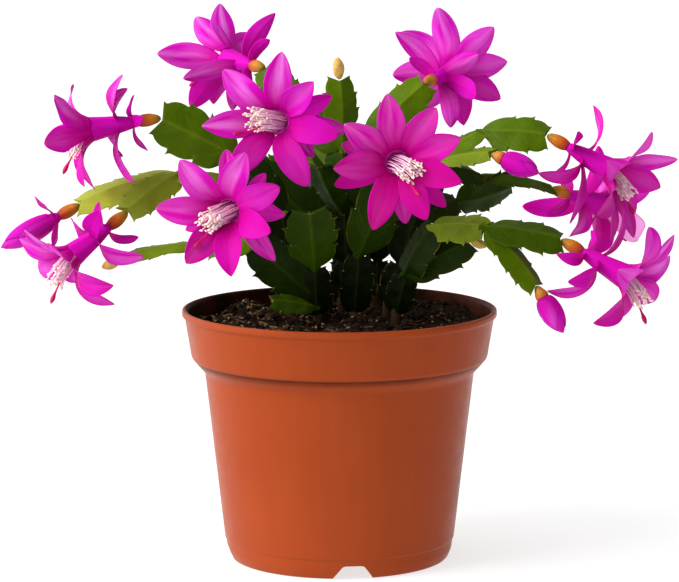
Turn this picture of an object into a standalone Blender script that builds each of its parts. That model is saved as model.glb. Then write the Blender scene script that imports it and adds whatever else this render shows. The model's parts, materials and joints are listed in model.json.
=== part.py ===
"""Potted Christmas cactus: a nursery pot, its soil, jointed toothed stems, blooms and buds.

Lengths are in millimetres and become metres as each mesh is made. +Z is up, -Y is the front, and the
origin is on the pot's axis at the foot. A stem is a set of runs. A run is a list of joints, and each pair
of joints carries one flat toothed segment. Blooms and buds sit on the tips of the runs.
"""
import math
import random

import bmesh
import bpy
from mathutils import Vector

MM = 0.001
GAP = 0.3                       # clearance between separate pieces that touch
SEED = 7

# --- pot ---------------------------------------------------------------------------------------------
RIM_RADIUS = 65.0
POT_HEIGHT = 104.0
WALL = 1.4
LIP_DROP = 3.2                  # height of the rolled lip
BAND_TOP = (63.8, 100.8)        # radius, height
BAND_BOTTOM = (61.1, 84.1)
SHOULDER = (55.6, 77.8)         # foot of the sloping step under the band
BODY_BOTTOM = (47.5, 7.1)
FOOT_RADIUS = 45.4
FOOT_WALL = 2.2
FLOOR_HEIGHT = 8.0              # underside of the floor
FLOOR_THICKNESS = 1.6
NOTCH_COUNT = 4
NOTCH_TURN = -83.0              # degrees from +X to the first notch
NOTCH_HEIGHT = 5.6
NOTCH_TOP_WIDTH = 10.0
NOTCH_FOOT_WIDTH = 16.0
DRAIN_RADIUS = 4.5
DRAIN_CIRCLE = 28.0
POT_STEPS = 32

# --- soil --------------------------------------------------------------------------------------------
SOIL_EDGE_HEIGHT = 96.5
SOIL_MOUND = 4.5                # rise from the edge to the middle
SOIL_ROUGHNESS = 0.8
SOIL_RINGS = 5
ROOT_RADIUS = 2.3               # woody foot of a stem
ROOT_SIDES = 6
ROOT_BOTTOM = 88.0
ROOT_TOP = 105.0

# --- stem segments -----------------------------------------------------------------------------------
EDGE_THICKNESS = 0.9
RIB_THICKNESS = 2.5
JOINT_OVERLAP = 2.0
SEGMENT_ARCH = 0.05             # rise of a segment's middle, as a share of its length
JOINT_WIDTH = 0.24              # half width at a joint, as a share of the segment's half width
# half outline between two joints: (share of the length, share of the half width)
SEGMENT_OUTLINE = [
    (0.40, 0.98),               # first tooth
    (0.44, 0.80),
    (0.69, 1.02),               # second tooth
    (0.73, 0.76),
    (1.00, 0.66),               # claw beside the tip
    (0.94, 0.34),
]
RIB_STATIONS = [0.50, 0.93]
TIP_SEAT = 1.75                 # from the rib's end to station 0 of the bloom or bud that it carries

# --- blooms ------------------------------------------------------------------------------------------
OVARY_PROFILE = [(-0.8, 0.7), (1.0, 1.7), (6.0, 2.6), (9.0, 1.9)]                  # station, radius
OVARY_SIDES = 6
OVARY_LENGTH = 9.0
TUBE_PROFILE = [(OVARY_LENGTH + GAP, 2.0), (15.0, 3.3)]
MOUTH = 28.0                    # station of the tube's mouth, where the crown's tepals part
MOUTH_OUTSIDE = 5.7
MOUTH_CLEFT = 4.9               # radius of the cleft between two tepals
MOUTH_INSIDE = 4.3
THROAT_FLOOR = 20.0
THROAT_RADIUS = 2.5
# whorls of tepals: station and radius of the root, first angle from the axis, and width
SKIRT = {"station": 10.0, "radius": 0.9, "start": 60, "width": 5.5}
COLLAR = {"station": 15.5, "radius": 1.6, "start": 45, "width": 8.5}
CROWN = {"station": MOUTH, "radius": MOUTH_CLEFT, "start": 22, "width": 11.5}
TEPAL_THICKNESS = 1.2
TEPAL_CUP = 0.2                 # rise of a tepal's edges, as a share of its half width
TEPAL_SPANS = 3
TEPAL_ROOM = 0.92               # a tepal's widest, as a share of the room beside its neighbours
CLOSED_PROFILE = [(OVARY_LENGTH + GAP, 2.0), (15.0, 3.7), (24.0, 4.5), (32.0, 2.9)]
CLOSED_TIP = 36.5
BUD_CUP = [(-0.8, 0.7), (1.0, 1.7), (4.5, 2.9)]
BUD_PETALS = [(4.5 + GAP, 2.7), (8.0, 4.2), (14.0, 4.4), (18.5, 2.7)]
BUD_TIP = 21.0
BUD_SIDES = 7
YOUNG_BUD = [(-0.8, 0.7), (1.5, 2.1), (4.5, 2.5), (7.0, 1.5)]
YOUNG_TIP = 8.5
# the brush of stamens and the style leave the throat on one curve
BRUSH_RADIUS = 1.75             # half-round core of the filaments
BRUSH_CORE_END = 0.5            # share of the curve
FILAMENT_RADIUS = 0.4
ANTHER_RADIUS = 0.75
FILAMENT_FANS = [               # (rise, drift) at the core's end, and the share of the curve reached
    (1.3, 0.0, 0.76),
    (1.0, 1.2, 0.70),
    (1.0, -1.2, 0.72),
    (0.45, 0.55, 0.80),
    (0.45, -0.55, 0.66),
]
FAN_SPREAD = 2.6                # how far the filaments have spread at their ends
STYLE_DROP = 0.9                # the style runs under the brush
STYLE_RADIUS = 0.45
STIGMA_RADIUS = 0.95
STYLE_REACH = 22.0              # beyond the mouth

FRONT = (0, -1, 0)
UP = (0, 0, 1)

# joints (x, y, z) of each stem's runs, then the width and the facing of each segment
TIPS = {
    "left_high": (-72, -6, 182),
    "left_end": (-106, 6, 146),
    "left_low": (-86, -8, 145),
    "left_bottom": (-88, -16, 126),
    "front_high": (-16, -17, 181),
    "front_low": (-32, -40, 154),
    "front_right": (22, -24, 164),
    "top_left": (-31, 35, 199),
    "top_middle": (0, 17, 196),
    "top_right": (35, 31, 193),
    "right_high": (84, 0, 175),
    "right_bud": (61, -10, 168),
    "right_back": (88, 28, 150),
    "right_low": (88, -31, 136),
    "right_bottom": (78, -37, 119),
    "right_under": (52, -22, 134),
}
STEMS = {
    "stem_left": [
        ([(-16, 2, 103), (-19, 0, 122), (-24, -3, 144), (-43, -1, 167), TIPS["left_high"]],
         [(12, FRONT), (17, FRONT), (18, FRONT), (22, (0.1, -1, 0.2))]),
        ([(-24, -3, 144), (-45, 7, 156), (-67, 8, 158), TIPS["left_end"]],
         [(16, (-0.3, -0.8, 0.5)), (15, (0, -0.3, 0.95)), (19, (0.1, -0.4, 0.9))]),
        ([(-67, 8, 158), TIPS["left_low"]],
         [(16, (-0.1, -0.75, 0.6))]),
    ],
    "stem_front_left": [
        ([(-9, -17, 103), (-10, -24, 124), (-12, -33, 147)],
         [(14, FRONT), (21, (0, -0.95, 0.3))]),
        ([(-10, -20, 112), (-34, -24, 134), TIPS["front_low"]],
         [(21, (-0.2, -0.95, -0.1)), (17, (-0.9, -0.4, 0.2))]),
        ([(-34, -24, 134), (-60, -20, 132), TIPS["left_bottom"]],
         [(17, (0, -0.5, 0.85)), (14, (0, -0.25, 0.97))]),
        ([(-10, -20, 107), (-27, -24, 110)],
         [(9, (0, -0.8, 0.6))]),
    ],
    "stem_centre": [
        ([(1, 12, 103), (3, 13, 121), (2, 13, 142), (1, 15, 168), TIPS["top_middle"]],
         [(13, FRONT), (17, FRONT), (18, FRONT), (15, (0.3, -0.95, 0))]),
        ([(2, 13, 142), (-8, 0, 163), TIPS["front_high"]],
         [(17, (-0.6, -0.8, 0.2)), (15, (-0.9, -0.4, 0.2))]),
        ([(1, 15, 168), (-17, 26, 184), TIPS["top_left"]],
         [(16, (0, -0.9, 0.4)), (15, (0, -0.9, 0.4))]),
    ],
    "stem_back_right": [
        ([(15, 19, 103), (16, 20, 121), (14, 22, 146), (13, 25, 172), TIPS["top_right"]],
         [(13, FRONT), (17, FRONT), (18, FRONT), (17, (-0.2, -0.9, 0.4))]),
    ],
    "stem_front_right": [
        ([(6, -10, 103), (8, -15, 128), TIPS["front_right"]],
         [(14, FRONT), (20, (0.1, -0.95, 0.2))]),
    ],
    "stem_right_high": [
        ([(20, 4, 103), (25, 3, 122), (32, 3, 143), (38, 4, 162), (59, 5, 176), TIPS["right_high"]],
         [(13, FRONT), (16, FRONT), (16, FRONT), (14, (-0.3, -0.4, 0.85)), (18, (0, -0.75, 0.65))]),
        ([(38, 4, 162), TIPS["right_bud"]],
         [(14, (0.1, -0.5, 0.85))]),
        ([(38, 4, 162), (59, 18, 156), TIPS["right_back"]],
         [(15, (0, -0.6, 0.8)), (14, (0.3, -0.2, 0.95))]),
        ([(32, 3, 143), (49, 14, 146), (71, 25, 152)],
         [(14, (0, -0.8, 0.4)), (17, (0, -0.8, -0.4))]),
    ],
    "stem_right_low": [
        ([(23, -12, 103), (27, -15, 120), (38, -23, 140), (59, -34, 141), TIPS["right_low"]],
         [(13, FRONT), (19, (-0.7, -0.6, 0.4)), (20, (0.05, -0.55, 0.83)), (17, (0, -0.6, 0.8))]),
        ([(59, -34, 141), TIPS["right_bottom"]],
         [(15, (0.5, -0.6, 0.6))]),
        ([(27, -15, 120), TIPS["right_under"]],
         [(16, (-0.2, -0.9, 0.3))]),
    ],
    "stem_back": [
        ([(4, 34, 103), (2, 38, 124), (-6, 46, 146), (-14, 60, 166)],
         [(13, (0, 1, 0)), (17, (0, 1, 0.2)), (18, (0, 1, 0.6))]),
        ([(-6, 46, 146), (-30, 58, 158), (-46, 78, 162)],
         [(17, (0, 0.8, 0.6)), (17, (0, 0.6, 0.8))]),
        ([(2, 38, 124), (20, 56, 138), (28, 80, 154)],
         [(17, (0, 0.8, 0.6)), (17, (0, 0.6, 0.8))]),
        ([(2, 38, 124), (-33, 42, 154)],
         [(22, (0, -1, 0.1))]),
    ],
}

# Tongue is the direction of the stamens and the style. Each tepal is (clock, lean, length): the clock angle
# round the bloom's axis, the angle its end makes with the axis, and its length.
BLOOMS = {
    "bloom_top_left": {
        "tip": "top_left", "facing": (-0.55, 0.83, 0.05), "tongue": (-0.8, 0.3, -0.5),
        "crown": [(15, 35, 24), (85, 70, 27), (158, 65, 25), (192, 55, 25), (240, 70, 24), (292, 75, 24),
                  (342, 55, 27)],
        "collar": [(105, 85, 26), (185, 70, 23), (320, 100, 27)],
        "skirt": [(335, 150, 15), (165, 150, 12)],
    },
    "bloom_left_high": {
        "tip": "left_high", "facing": (-0.97, -0.18, -0.14), "tongue": (-0.55, -0.25, -0.8),
        "crown": [(45, 70, 25), (95, 35, 24), (140, 95, 25), (200, 120, 26), (255, 60, 24), (310, 115, 24)],
        "collar": [(150, 112, 26), (310, 140, 22), (15, 125, 22), (230, 115, 24)],
        "skirt": [(180, 130, 13), (330, 120, 12), (80, 125, 12)],
    },
    "bloom_left_low": {
        "tip": "left_low", "facing": (-0.75, -0.33, -0.57), "tongue": (-0.45, -0.3, -0.85),
        "crown": [(5, 75, 21), (50, 90, 22), (118, 130, 26), (162, 128, 25), (212, 135, 20), (262, 85, 24),
                  (312, 75, 21)],
        "collar": [(122, 138, 26), (50, 130, 20), (290, 112, 20)],
        "skirt": [(130, 150, 15), (10, 130, 12)],
    },
    "bloom_front_high": {
        "tip": "front_high", "facing": (-0.28, -0.95, 0.10), "tongue": (-0.8, -0.6, 0.05),
        "crown": [(10, 85, 27), (48, 75, 24), (100, 105, 25), (150, 115, 27), (215, 95, 26), (265, 75, 27),
                  (315, 95, 27)],
        "collar": [(60, 95, 22), (95, 120, 25), (135, 75, 20), (290, 115, 22)],
        "skirt": [(70, 120, 12), (200, 120, 13)],
    },
    "bloom_front_low": {
        "tip": "front_low", "facing": (-0.40, -0.90, -0.10), "tongue": (-0.7, -0.55, -0.45),
        "crown": [(22, 110, 24), (65, 115, 24), (105, 80, 22), (160, 65, 25), (210, 45, 25), (275, 75, 25),
                  (325, 85, 25)],
        "collar": [(95, 80, 23), (150, 110, 26), (245, 78, 24), (345, 115, 22)],
        "skirt": [(30, 130, 13), (200, 120, 12)],
    },
    "bloom_front_right": {
        "tip": "front_right", "facing": (0.0, -0.98, 0.15), "tongue": (0.5, -0.8, -0.35),
        "crown": [(350, 80, 26), (37, 80, 25), (70, 78, 26), (108, 80, 26), (155, 90, 24), (200, 95, 27),
                  (262, 75, 25), (305, 85, 24)],
        "collar": [(130, 105, 26), (170, 125, 25), (250, 108, 26), (290, 112, 23)],
        "skirt": [(80, 130, 13), (220, 120, 12)],
    },
    "bloom_top_right": {
        "tip": "top_right", "facing": (0.36, 0.90, 0.08), "tongue": (0.6, 0.75, -0.2),
        "crown": [(15, 95, 26), (320, 60, 25), (275, 45, 25), (232, 60, 24), (185, 75, 25), (135, 90, 24),
                  (95, 112, 25), (55, 112, 26)],
        "collar": [(45, 115, 27), (200, 140, 24), (250, 140, 22), (300, 110, 20)],
        "skirt": [(45, 125, 14), (120, 130, 13)],
    },
    "bloom_right_high": {
        "tip": "right_high", "facing": (0.86, -0.22, -0.46), "tongue": (0.5, -0.25, -0.8),
        "crown": [(335, 90, 25), (28, 35, 26), (88, 42, 25), (135, 60, 25), (172, 42, 27), (206, 70, 27),
                  (240, 100, 27), (285, 122, 24)],
        "collar": [(35, 140, 24), (190, 82, 28), (225, 160, 24)],
        "skirt": [(305, 100, 16), (170, 125, 18)],
    },
    "bloom_right_back": {
        "tip": "right_back", "facing": (0.74, 0.60, -0.30), "tongue": (0.6, 0.3, -0.75),
        "crown": [(5, 75, 24), (50, 75, 24), (95, 60, 24), (138, 55, 24), (188, 135, 22), (246, 115, 26),
                  (310, 95, 23)],
        "collar": [(112, 155, 28), (205, 150, 24), (345, 120, 24)],
        "skirt": [(150, 140, 13), (40, 130, 12)],
    },
    "bloom_right_low": {
        "tip": "right_low", "facing": (0.85, -0.25, -0.46), "tongue": (0.45, -0.25, -0.85),
        "crown": [(335, 120, 25), (20, 85, 23), (66, 85, 25), (108, 68, 24), (160, 130, 26), (228, 120, 26),
                  (284, 125, 24)],
        "collar": [(248, 125, 24), (205, 155, 26), (20, 115, 24)],
        "skirt": [(255, 160, 16), (50, 130, 12)],
    },
}
CLOSED_BLOOMS = {
    "bloom_left_end": {
        "tip": "left_end", "facing": (-0.86, -0.20, -0.45),
        "skirt": [(10, 75, 13), (140, 50, 14), (255, 60, 13)],
    },
}
BUDS = {
    "bud_right_high": {"tip": "right_bud", "facing": (0.87, -0.37, -0.32)},
    "bud_right_low": {"tip": "right_bottom", "facing": (0.50, -0.17, -0.85)},
}
YOUNG_BUDS = {
    "bud_top_young": {"tip": "top_middle", "facing": (-0.10, -0.10, 1.0), "size": 1.0},
    "bud_left_young": {"tip": "left_bottom", "facing": (-0.9, -0.10, -0.35), "size": 0.9},
    "bud_right_young": {"tip": "right_under", "facing": (0.85, -0.35, -0.35), "size": 0.8},
}


# --- shared shape tools ------------------------------------------------------------------------------
def material(name, rgb, roughness):
    mat = bpy.data.materials.get(name)
    if mat is None:
        mat = bpy.data.materials.new(name)
        mat.use_nodes = True
        shader = mat.node_tree.nodes["Principled BSDF"]
        shader.inputs["Base Color"].default_value = (*rgb, 1.0)
        shader.inputs["Roughness"].default_value = roughness
        shader.inputs["Metallic"].default_value = 0.0
    return mat


def mesh_object(name, bm, collection):
    """A scene object from a bmesh given in millimetres."""
    bmesh.ops.recalc_face_normals(bm, faces=bm.faces)
    bmesh.ops.scale(bm, vec=(MM, MM, MM), verts=bm.verts)
    mesh = bpy.data.meshes.new(name)
    bm.to_mesh(mesh)
    bm.free()
    obj = bpy.data.objects.new(name, mesh)
    collection.objects.link(obj)
    return obj


def strip(bm, low, high, closed=True):
    """Triangles between two rows of vertices, with diagonals that alternate."""
    count = len(low)
    for k in range(count if closed else count - 1):
        n = (k + 1) % count
        if k % 2 == 0:
            bm.faces.new((low[k], low[n], high[n]))
            bm.faces.new((low[k], high[n], high[k]))
        else:
            bm.faces.new((low[k], low[n], high[k]))
            bm.faces.new((low[n], high[n], high[k]))


def loft(rings, start=None, end=None):
    """Closed skin through rings of equal point counts, capped, or drawn to a point at its start or end.

    The diagonals are alike on a blade's two faces.
    """
    bm = bmesh.new()
    rows = [[bm.verts.new(p) for p in ring] for ring in rings]
    count = len(rows[0])
    for low, high in zip(rows, rows[1:]):
        strip(bm, low, high)
    for row, point in ((rows[0], start), (rows[-1], end)):
        if point is None:
            bm.faces.new(row)
            continue
        apex = bm.verts.new(point)
        for k in range(count):
            bm.faces.new((row[k], row[(k + 1) % count], apex))
    return bm


def frame_of(axis, hint):
    """Three unit vectors: the axis, the hint made square to it, and their side vector."""
    axis = Vector(axis).normalized()
    hint = Vector(hint)
    normal = (hint - axis * hint.dot(axis)).normalized()
    return axis, normal, axis.cross(normal)


def circle(centre, normal, side, radius, sides):
    turns = [2 * math.pi * k / sides for k in range(sides)]
    return [centre + normal * radius * math.cos(t) + side * radius * math.sin(t) for t in turns]


def keep_largest_body(mesh):
    """Drop loose scraps, and fill hollows that the fusing has sealed."""
    bm = bmesh.new()
    bm.from_mesh(mesh)
    left = set(bm.verts)
    bodies = []
    while left:
        body, front = set(), [next(iter(left))]
        while front:
            vert = front.pop()
            if vert not in body:
                body.add(vert)
                front.extend(edge.other_vert(vert) for edge in vert.link_edges)
        left -= body
        bodies.append(body)
    bodies.sort(key=len)
    scraps = [vert for body in bodies[:-1] for vert in body]
    bmesh.ops.delete(bm, geom=scraps, context="VERTS")
    bm.to_mesh(mesh)
    bm.free()


def unite(name, bodies, collection, solver="EXACT"):
    """Fuse the bodies' solids into one object, then remove them."""
    parts = bpy.data.collections.new(name + "_parts")
    bpy.context.scene.collection.children.link(parts)
    first, *others = bodies
    target = mesh_object(name, first, collection)
    for number, bm in enumerate(others):
        mesh_object(f"{name}_{number}", bm, parts)
    fuse = target.modifiers.new("fuse", "BOOLEAN")
    fuse.operation = "UNION"
    fuse.operand_type = "COLLECTION"
    fuse.collection = parts
    fuse.solver = solver
    depsgraph = bpy.context.evaluated_depsgraph_get()
    fused = bpy.data.meshes.new_from_object(target.evaluated_get(depsgraph))
    target.modifiers.clear()
    target.data = fused
    fused.name = name
    keep_largest_body(fused)
    for obj in list(parts.objects):
        bpy.data.objects.remove(obj)
    bpy.data.collections.remove(parts)
    return target


def finish(obj, mat, smooth_angle=35):
    obj.data.materials.clear()
    obj.data.materials.append(mat)
    obj.data.shade_smooth()
    obj.data.set_sharp_from_angle(angle=math.radians(smooth_angle))
    return obj


# --- pot and soil ------------------------------------------------------------------------------------
def pot_inside():
    """(radius, height) up the pot's inner wall, from the floor to just under the lip."""
    return [
        (BODY_BOTTOM[0] - WALL, FLOOR_HEIGHT + FLOOR_THICKNESS),
        (SHOULDER[0] - WALL, SHOULDER[1] + 0.4),
        (BAND_BOTTOM[0] - WALL, BAND_BOTTOM[1] + 0.4),
        (BAND_TOP[0] - WALL, POT_HEIGHT - 1.0),
    ]


def pot_profile():
    """(radius, height) from the floor's middle up the inner side, over the lip and down to the foot."""
    lip = [
        (RIM_RADIUS - 1.3, POT_HEIGHT),
        (RIM_RADIUS - 0.2, POT_HEIGHT - 0.6),
        (RIM_RADIUS, POT_HEIGHT - LIP_DROP + 0.8),
        (BAND_TOP[0], POT_HEIGHT - LIP_DROP - 0.2),
    ]
    foot = [
        (FOOT_RADIUS + 1.3, 4.0),
        (FOOT_RADIUS, 0.8),
        (FOOT_RADIUS - 0.7, 0.0),
        (FOOT_RADIUS - FOOT_WALL, 0.0),
        (BODY_BOTTOM[0] - FOOT_WALL - 0.4, FLOOR_HEIGHT),
        (0.0, FLOOR_HEIGHT),
    ]
    middle = [(0.0, FLOOR_HEIGHT + FLOOR_THICKNESS)]
    return middle + pot_inside() + lip + [BAND_BOTTOM, SHOULDER, BODY_BOTTOM] + foot


def lathe(name, profile, steps, collection):
    """A turned solid from a profile that starts and ends on the axis."""
    mesh = bpy.data.meshes.new(name)
    points = [(r * MM, 0.0, z * MM) for r, z in profile]
    mesh.from_pydata(points, [(k, k + 1) for k in range(len(points) - 1)], [])
    obj = bpy.data.objects.new(name, mesh)
    collection.objects.link(obj)
    turn = obj.modifiers.new("turn", "SCREW")
    turn.steps = steps
    turn.render_steps = steps
    turn.use_merge_vertices = True
    turn.merge_threshold = 1e-5
    return obj


def cutter(bm, name, cutters):
    obj = mesh_object(name, bm, cutters)
    obj.hide_render = True
    obj.display_type = "WIRE"
    return obj


def cut(obj, tool):
    modifier = obj.modifiers.new(tool.name, "BOOLEAN")
    modifier.operation = "DIFFERENCE"
    modifier.object = tool
    modifier.solver = "EXACT"


def make_pot(collection, cutters):
    pot = lathe("pot", pot_profile(), POT_STEPS, collection)
    for k in range(NOTCH_COUNT):
        turn = math.radians(NOTCH_TURN + 360.0 * k / NOTCH_COUNT)
        out = Vector((math.cos(turn), math.sin(turn), 0))
        side = Vector((-math.sin(turn), math.cos(turn), 0))
        section = [
            (-NOTCH_FOOT_WIDTH / 2 - 0.6, -2.0),
            (NOTCH_FOOT_WIDTH / 2 + 0.6, -2.0),
            (NOTCH_TOP_WIDTH / 2, NOTCH_HEIGHT - 1.2),
            (NOTCH_TOP_WIDTH / 2 - 1.2, NOTCH_HEIGHT),
            (-NOTCH_TOP_WIDTH / 2 + 1.2, NOTCH_HEIGHT),
            (-NOTCH_TOP_WIDTH / 2, NOTCH_HEIGHT - 1.2),
        ]
        rings = [[out * r + side * u + Vector((0, 0, z)) for u, z in section] for r in (36.0, 56.0)]
        cut(pot, cutter(loft(rings), f"notch_{k}", cutters))
        hole = out * DRAIN_CIRCLE
        rings = [circle(hole + Vector((0, 0, z)), out, side, DRAIN_RADIUS, 12) for z in (5.0, 12.0)]
        cut(pot, cutter(loft(rings), f"drain_{k}", cutters))
    return finish(pot, material("terracotta_plastic", (0.49, 0.10, 0.035), 0.42), 30)


def soil_height(x, y, edge):
    """Height of the soil's mound at a place, without its crumb."""
    share = math.hypot(x, y) / edge
    return SOIL_EDGE_HEIGHT + SOIL_MOUND * (1 - share * share)


def make_soil(collection, cutters, roots):
    """A filled body: mounded rough top, the pot's inner taper at the side, flat on the floor."""
    chance = random.Random(SEED)
    *side, (low_radius, low_height), (high_radius, high_height) = pot_inside()
    share = (SOIL_EDGE_HEIGHT - low_height) / (high_height - low_height)
    edge = low_radius + (high_radius - low_radius) * share - GAP
    bm = bmesh.new()
    rows = []
    for ring in range(1, SOIL_RINGS + 1):
        row = []
        inner = ring < SOIL_RINGS
        for k in range(POT_STEPS):
            turn = 2 * math.pi * (k + 0.5 * ((SOIL_RINGS - ring) % 2)) / POT_STEPS
            radius = edge * ring / SOIL_RINGS + inner * chance.uniform(-1.2, 1.2)
            x, y = radius * math.cos(turn), radius * math.sin(turn)
            rough = inner * chance.uniform(-1, 1) * SOIL_ROUGHNESS
            row.append(bm.verts.new((x, y, soil_height(x, y, edge) + rough)))
        rows.append(row)
    lowest = side[0][1] + GAP
    for radius, height in [(low_radius, low_height), side[1], (side[0][0], lowest)]:
        rows.append([bm.verts.new(p) for p in circle(
            Vector((0, 0, height)), Vector((1, 0, 0)), Vector((0, 1, 0)), radius - GAP - 0.1, POT_STEPS)])
    top = bm.verts.new((0, 0, soil_height(0, 0, edge)))
    for k in range(POT_STEPS):
        bm.faces.new((top, rows[0][k], rows[0][(k + 1) % POT_STEPS]))
    for low, high in zip(rows, rows[1:]):
        for k in range(POT_STEPS):
            n = (k + 1) % POT_STEPS
            bm.faces.new((low[k], high[k], low[n]))
            bm.faces.new((low[n], high[k], high[n]))
    bm.faces.new(rows[-1])
    soil = mesh_object("soil", bm, collection)
    for k, (x, y) in enumerate(roots):
        radius = ROOT_RADIUS + GAP / math.cos(math.pi / ROOT_SIDES)
        rings = [circle(Vector((x, y, z)), Vector((1, 0, 0)), Vector((0, 1, 0)), radius, ROOT_SIDES)
                 for z in (ROOT_BOTTOM - GAP, POT_HEIGHT + 6)]
        cut(soil, cutter(loft(rings), f"root_hole_{k}", cutters))
    return finish(soil, material("potting_soil", (0.035, 0.02, 0.012), 0.95))


# --- stems -------------------------------------------------------------------------------------------
def leafy_run(joints, sizes):
    """One skin over a run's flat toothed segments: thick along the rib, thin at the edge, narrow at a joint.

    A segment arches a little towards its face. At a joint the skin stands midway between its neighbours.
    The last segment's rib ends at the last joint, with claws beside and past it.
    """
    points = [Vector(joint) for joint in joints]
    frames = [frame_of(b - a, face) for a, b, (_, face) in zip(points, points[1:], sizes)]
    points[0] = points[0] - frames[0][0] * JOINT_OVERLAP
    points[-1] = points[-2] + (points[-1] - points[-2]) / RIB_STATIONS[-1]
    bm = bmesh.new()
    signs = (1, -1)
    ribs = {sign: [] for sign in signs}
    edges = {(sign, hand): [] for sign in signs for hand in signs}
    for k, (width, _) in enumerate(sizes):
        start, end = points[k], points[k + 1]
        along, normal, side = frames[k]
        before = frames[max(k - 1, 0)]
        _, joint_normal, joint_side = frame_of(before[0] + along, before[1] + normal)
        length = (end - start).length

        def place(s, across, lift):
            bow = SEGMENT_ARCH * length * 4 * s * (1 - s)
            return bm.verts.new(start + along * s * length + side * across + normal * (bow + lift))

        for sign in signs:
            rib_lift, edge_lift = sign * RIB_THICKNESS / 2, sign * EDGE_THICKNESS / 2
            at_joint = bm.verts.new(start + joint_normal * rib_lift)
            ribs[sign].append([at_joint] + [place(s, 0, rib_lift) for s in RIB_STATIONS])
            for hand in signs:
                half = hand * width / 2
                at_joint = bm.verts.new(start + joint_side * half * JOINT_WIDTH + joint_normal * edge_lift)
                edges[sign, hand].append(
                    [at_joint] + [place(s, w * half, edge_lift) for s, w in SEGMENT_OUTLINE]
                )
    for (sign, hand), rows in edges.items():
        for rib, edge in zip(ribs[sign], rows):
            zip_strip(bm, rib, edge)
        for k in range(len(rows) - 1):
            rib_end, rib_start = ribs[sign][k][-1], ribs[sign][k + 1][0]
            bm.faces.new((rib_end, rib_start, rows[k + 1][0]))
            bm.faces.new((rib_end, rows[k + 1][0], rows[k][-1]))
    for hand in signs:
        upper = [vert for row in edges[1, hand] for vert in row]
        lower = [vert for row in edges[-1, hand] for vert in row]
        for k in range(len(upper) - 1):
            bm.faces.new((upper[k], upper[k + 1], lower[k + 1]))
            bm.faces.new((upper[k], lower[k + 1], lower[k]))
        for end in (0, -1):
            bm.faces.new((ribs[1][end][end], upper[end], lower[end], ribs[-1][end][end]))
    return bm


def zip_strip(bm, rib, edge):
    """Triangles between the rib's points and the outline's, advancing whichever lags."""
    r = e = 0
    while r < len(rib) - 1 or e < len(edge) - 1:
        rib_share = (r + 1) / len(rib)
        edge_share = (e + 1) / len(edge)
        if e == len(edge) - 1 or (r < len(rib) - 1 and rib_share < edge_share):
            bm.faces.new((rib[r], rib[r + 1], edge[e]))
            r += 1
        else:
            bm.faces.new((rib[r], edge[e], edge[e + 1]))
            e += 1


def make_stem(name, runs, collection):
    x, y, _ = runs[0][0][0]
    across = Vector((1, 0, 0)), Vector((0, 1, 0))
    ends = Vector((x, y, ROOT_BOTTOM)), Vector((x, y, ROOT_TOP))
    stalk = loft([circle(end, *across, ROOT_RADIUS, ROOT_SIDES) for end in ends])
    bodies = [stalk]
    for joints, sizes in runs:
        bodies.append(leafy_run(joints, sizes))
    stem = unite(name, bodies, collection, solver="MANIFOLD")
    return finish(stem, material("stem_green", (0.12, 0.22, 0.015), 0.45))


# --- blooms ------------------------------------------------------------------------------------------
def seat(tip):
    """The foot of what grows from a tip: between the claws, just off the end of the rib."""
    for runs in STEMS.values():
        for joints, _ in runs:
            if joints[-1] == tip:
                return Vector(tip) + (Vector(tip) - Vector(joints[-2])).normalized() * TIP_SEAT
    raise ValueError("no run ends at this tip")


class Pose:
    """Where a bloom or bud sits: its foot, axis, and up and right vectors."""

    def __init__(self, tip, facing):
        self.axis, self.up, _ = frame_of(facing, UP)
        self.right = self.up.cross(self.axis)
        self.foot = seat(tip)

    def out(self, clock):
        """Direction away from the axis: 0 is up and 90 is right, seen from in front of the bloom."""
        turn = math.radians(clock)
        return self.up * math.cos(turn) + self.right * math.sin(turn)

    def at(self, station, radius=0.0, clock=0.0):
        return self.foot + self.axis * station + self.out(clock) * radius

    def turned(self, profile, sides):
        """Rings round the axis for (station, radius) pairs."""
        return [circle(self.at(s), self.up, self.right, r, sides) for s, r in profile]


def tepal_width(share):
    """Half width of a tepal along its length, as a share of its widest."""
    return math.sin(math.pi * (0.10 + 0.90 * share) ** 1.1)


def tepal_rings(pose, whorl, clock, lean, length, room=None):
    """Lens-shaped sections of a lance-shaped petal, then its tip.

    The petal leaves at the whorl's first angle and bends to the lean angle, mostly near its root. Room is
    half the angle to its neighbours, in degrees.
    """
    out = pose.out(clock)
    side = pose.axis.cross(out)

    def slope(share):
        return math.radians(whorl["start"] + (lean - whorl["start"]) * (1 - (1 - share) ** 2))

    centre = pose.at(whorl["station"], whorl["radius"], clock)
    rings = []
    for k in range(TEPAL_SPANS):
        share = k / TEPAL_SPANS
        inward = pose.axis * math.sin(slope(share)) - out * math.cos(slope(share))
        half = whorl["width"] / 2 * tepal_width(share)
        if room is not None:
            distance = (centre - pose.foot).dot(out)
            half = min(half, TEPAL_ROOM * distance * math.tan(math.radians(room)))
        rings.append([
            centre - side * half + inward * TEPAL_CUP * half,
            centre + inward * TEPAL_THICKNESS / 2,
            centre + side * half + inward * TEPAL_CUP * half,
            centre - inward * TEPAL_THICKNESS / 2,
        ])
        middle = slope((k + 0.5) / TEPAL_SPANS)
        centre = centre + (pose.axis * math.cos(middle) + out * math.sin(middle)) * length / TEPAL_SPANS
    return rings, centre


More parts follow.
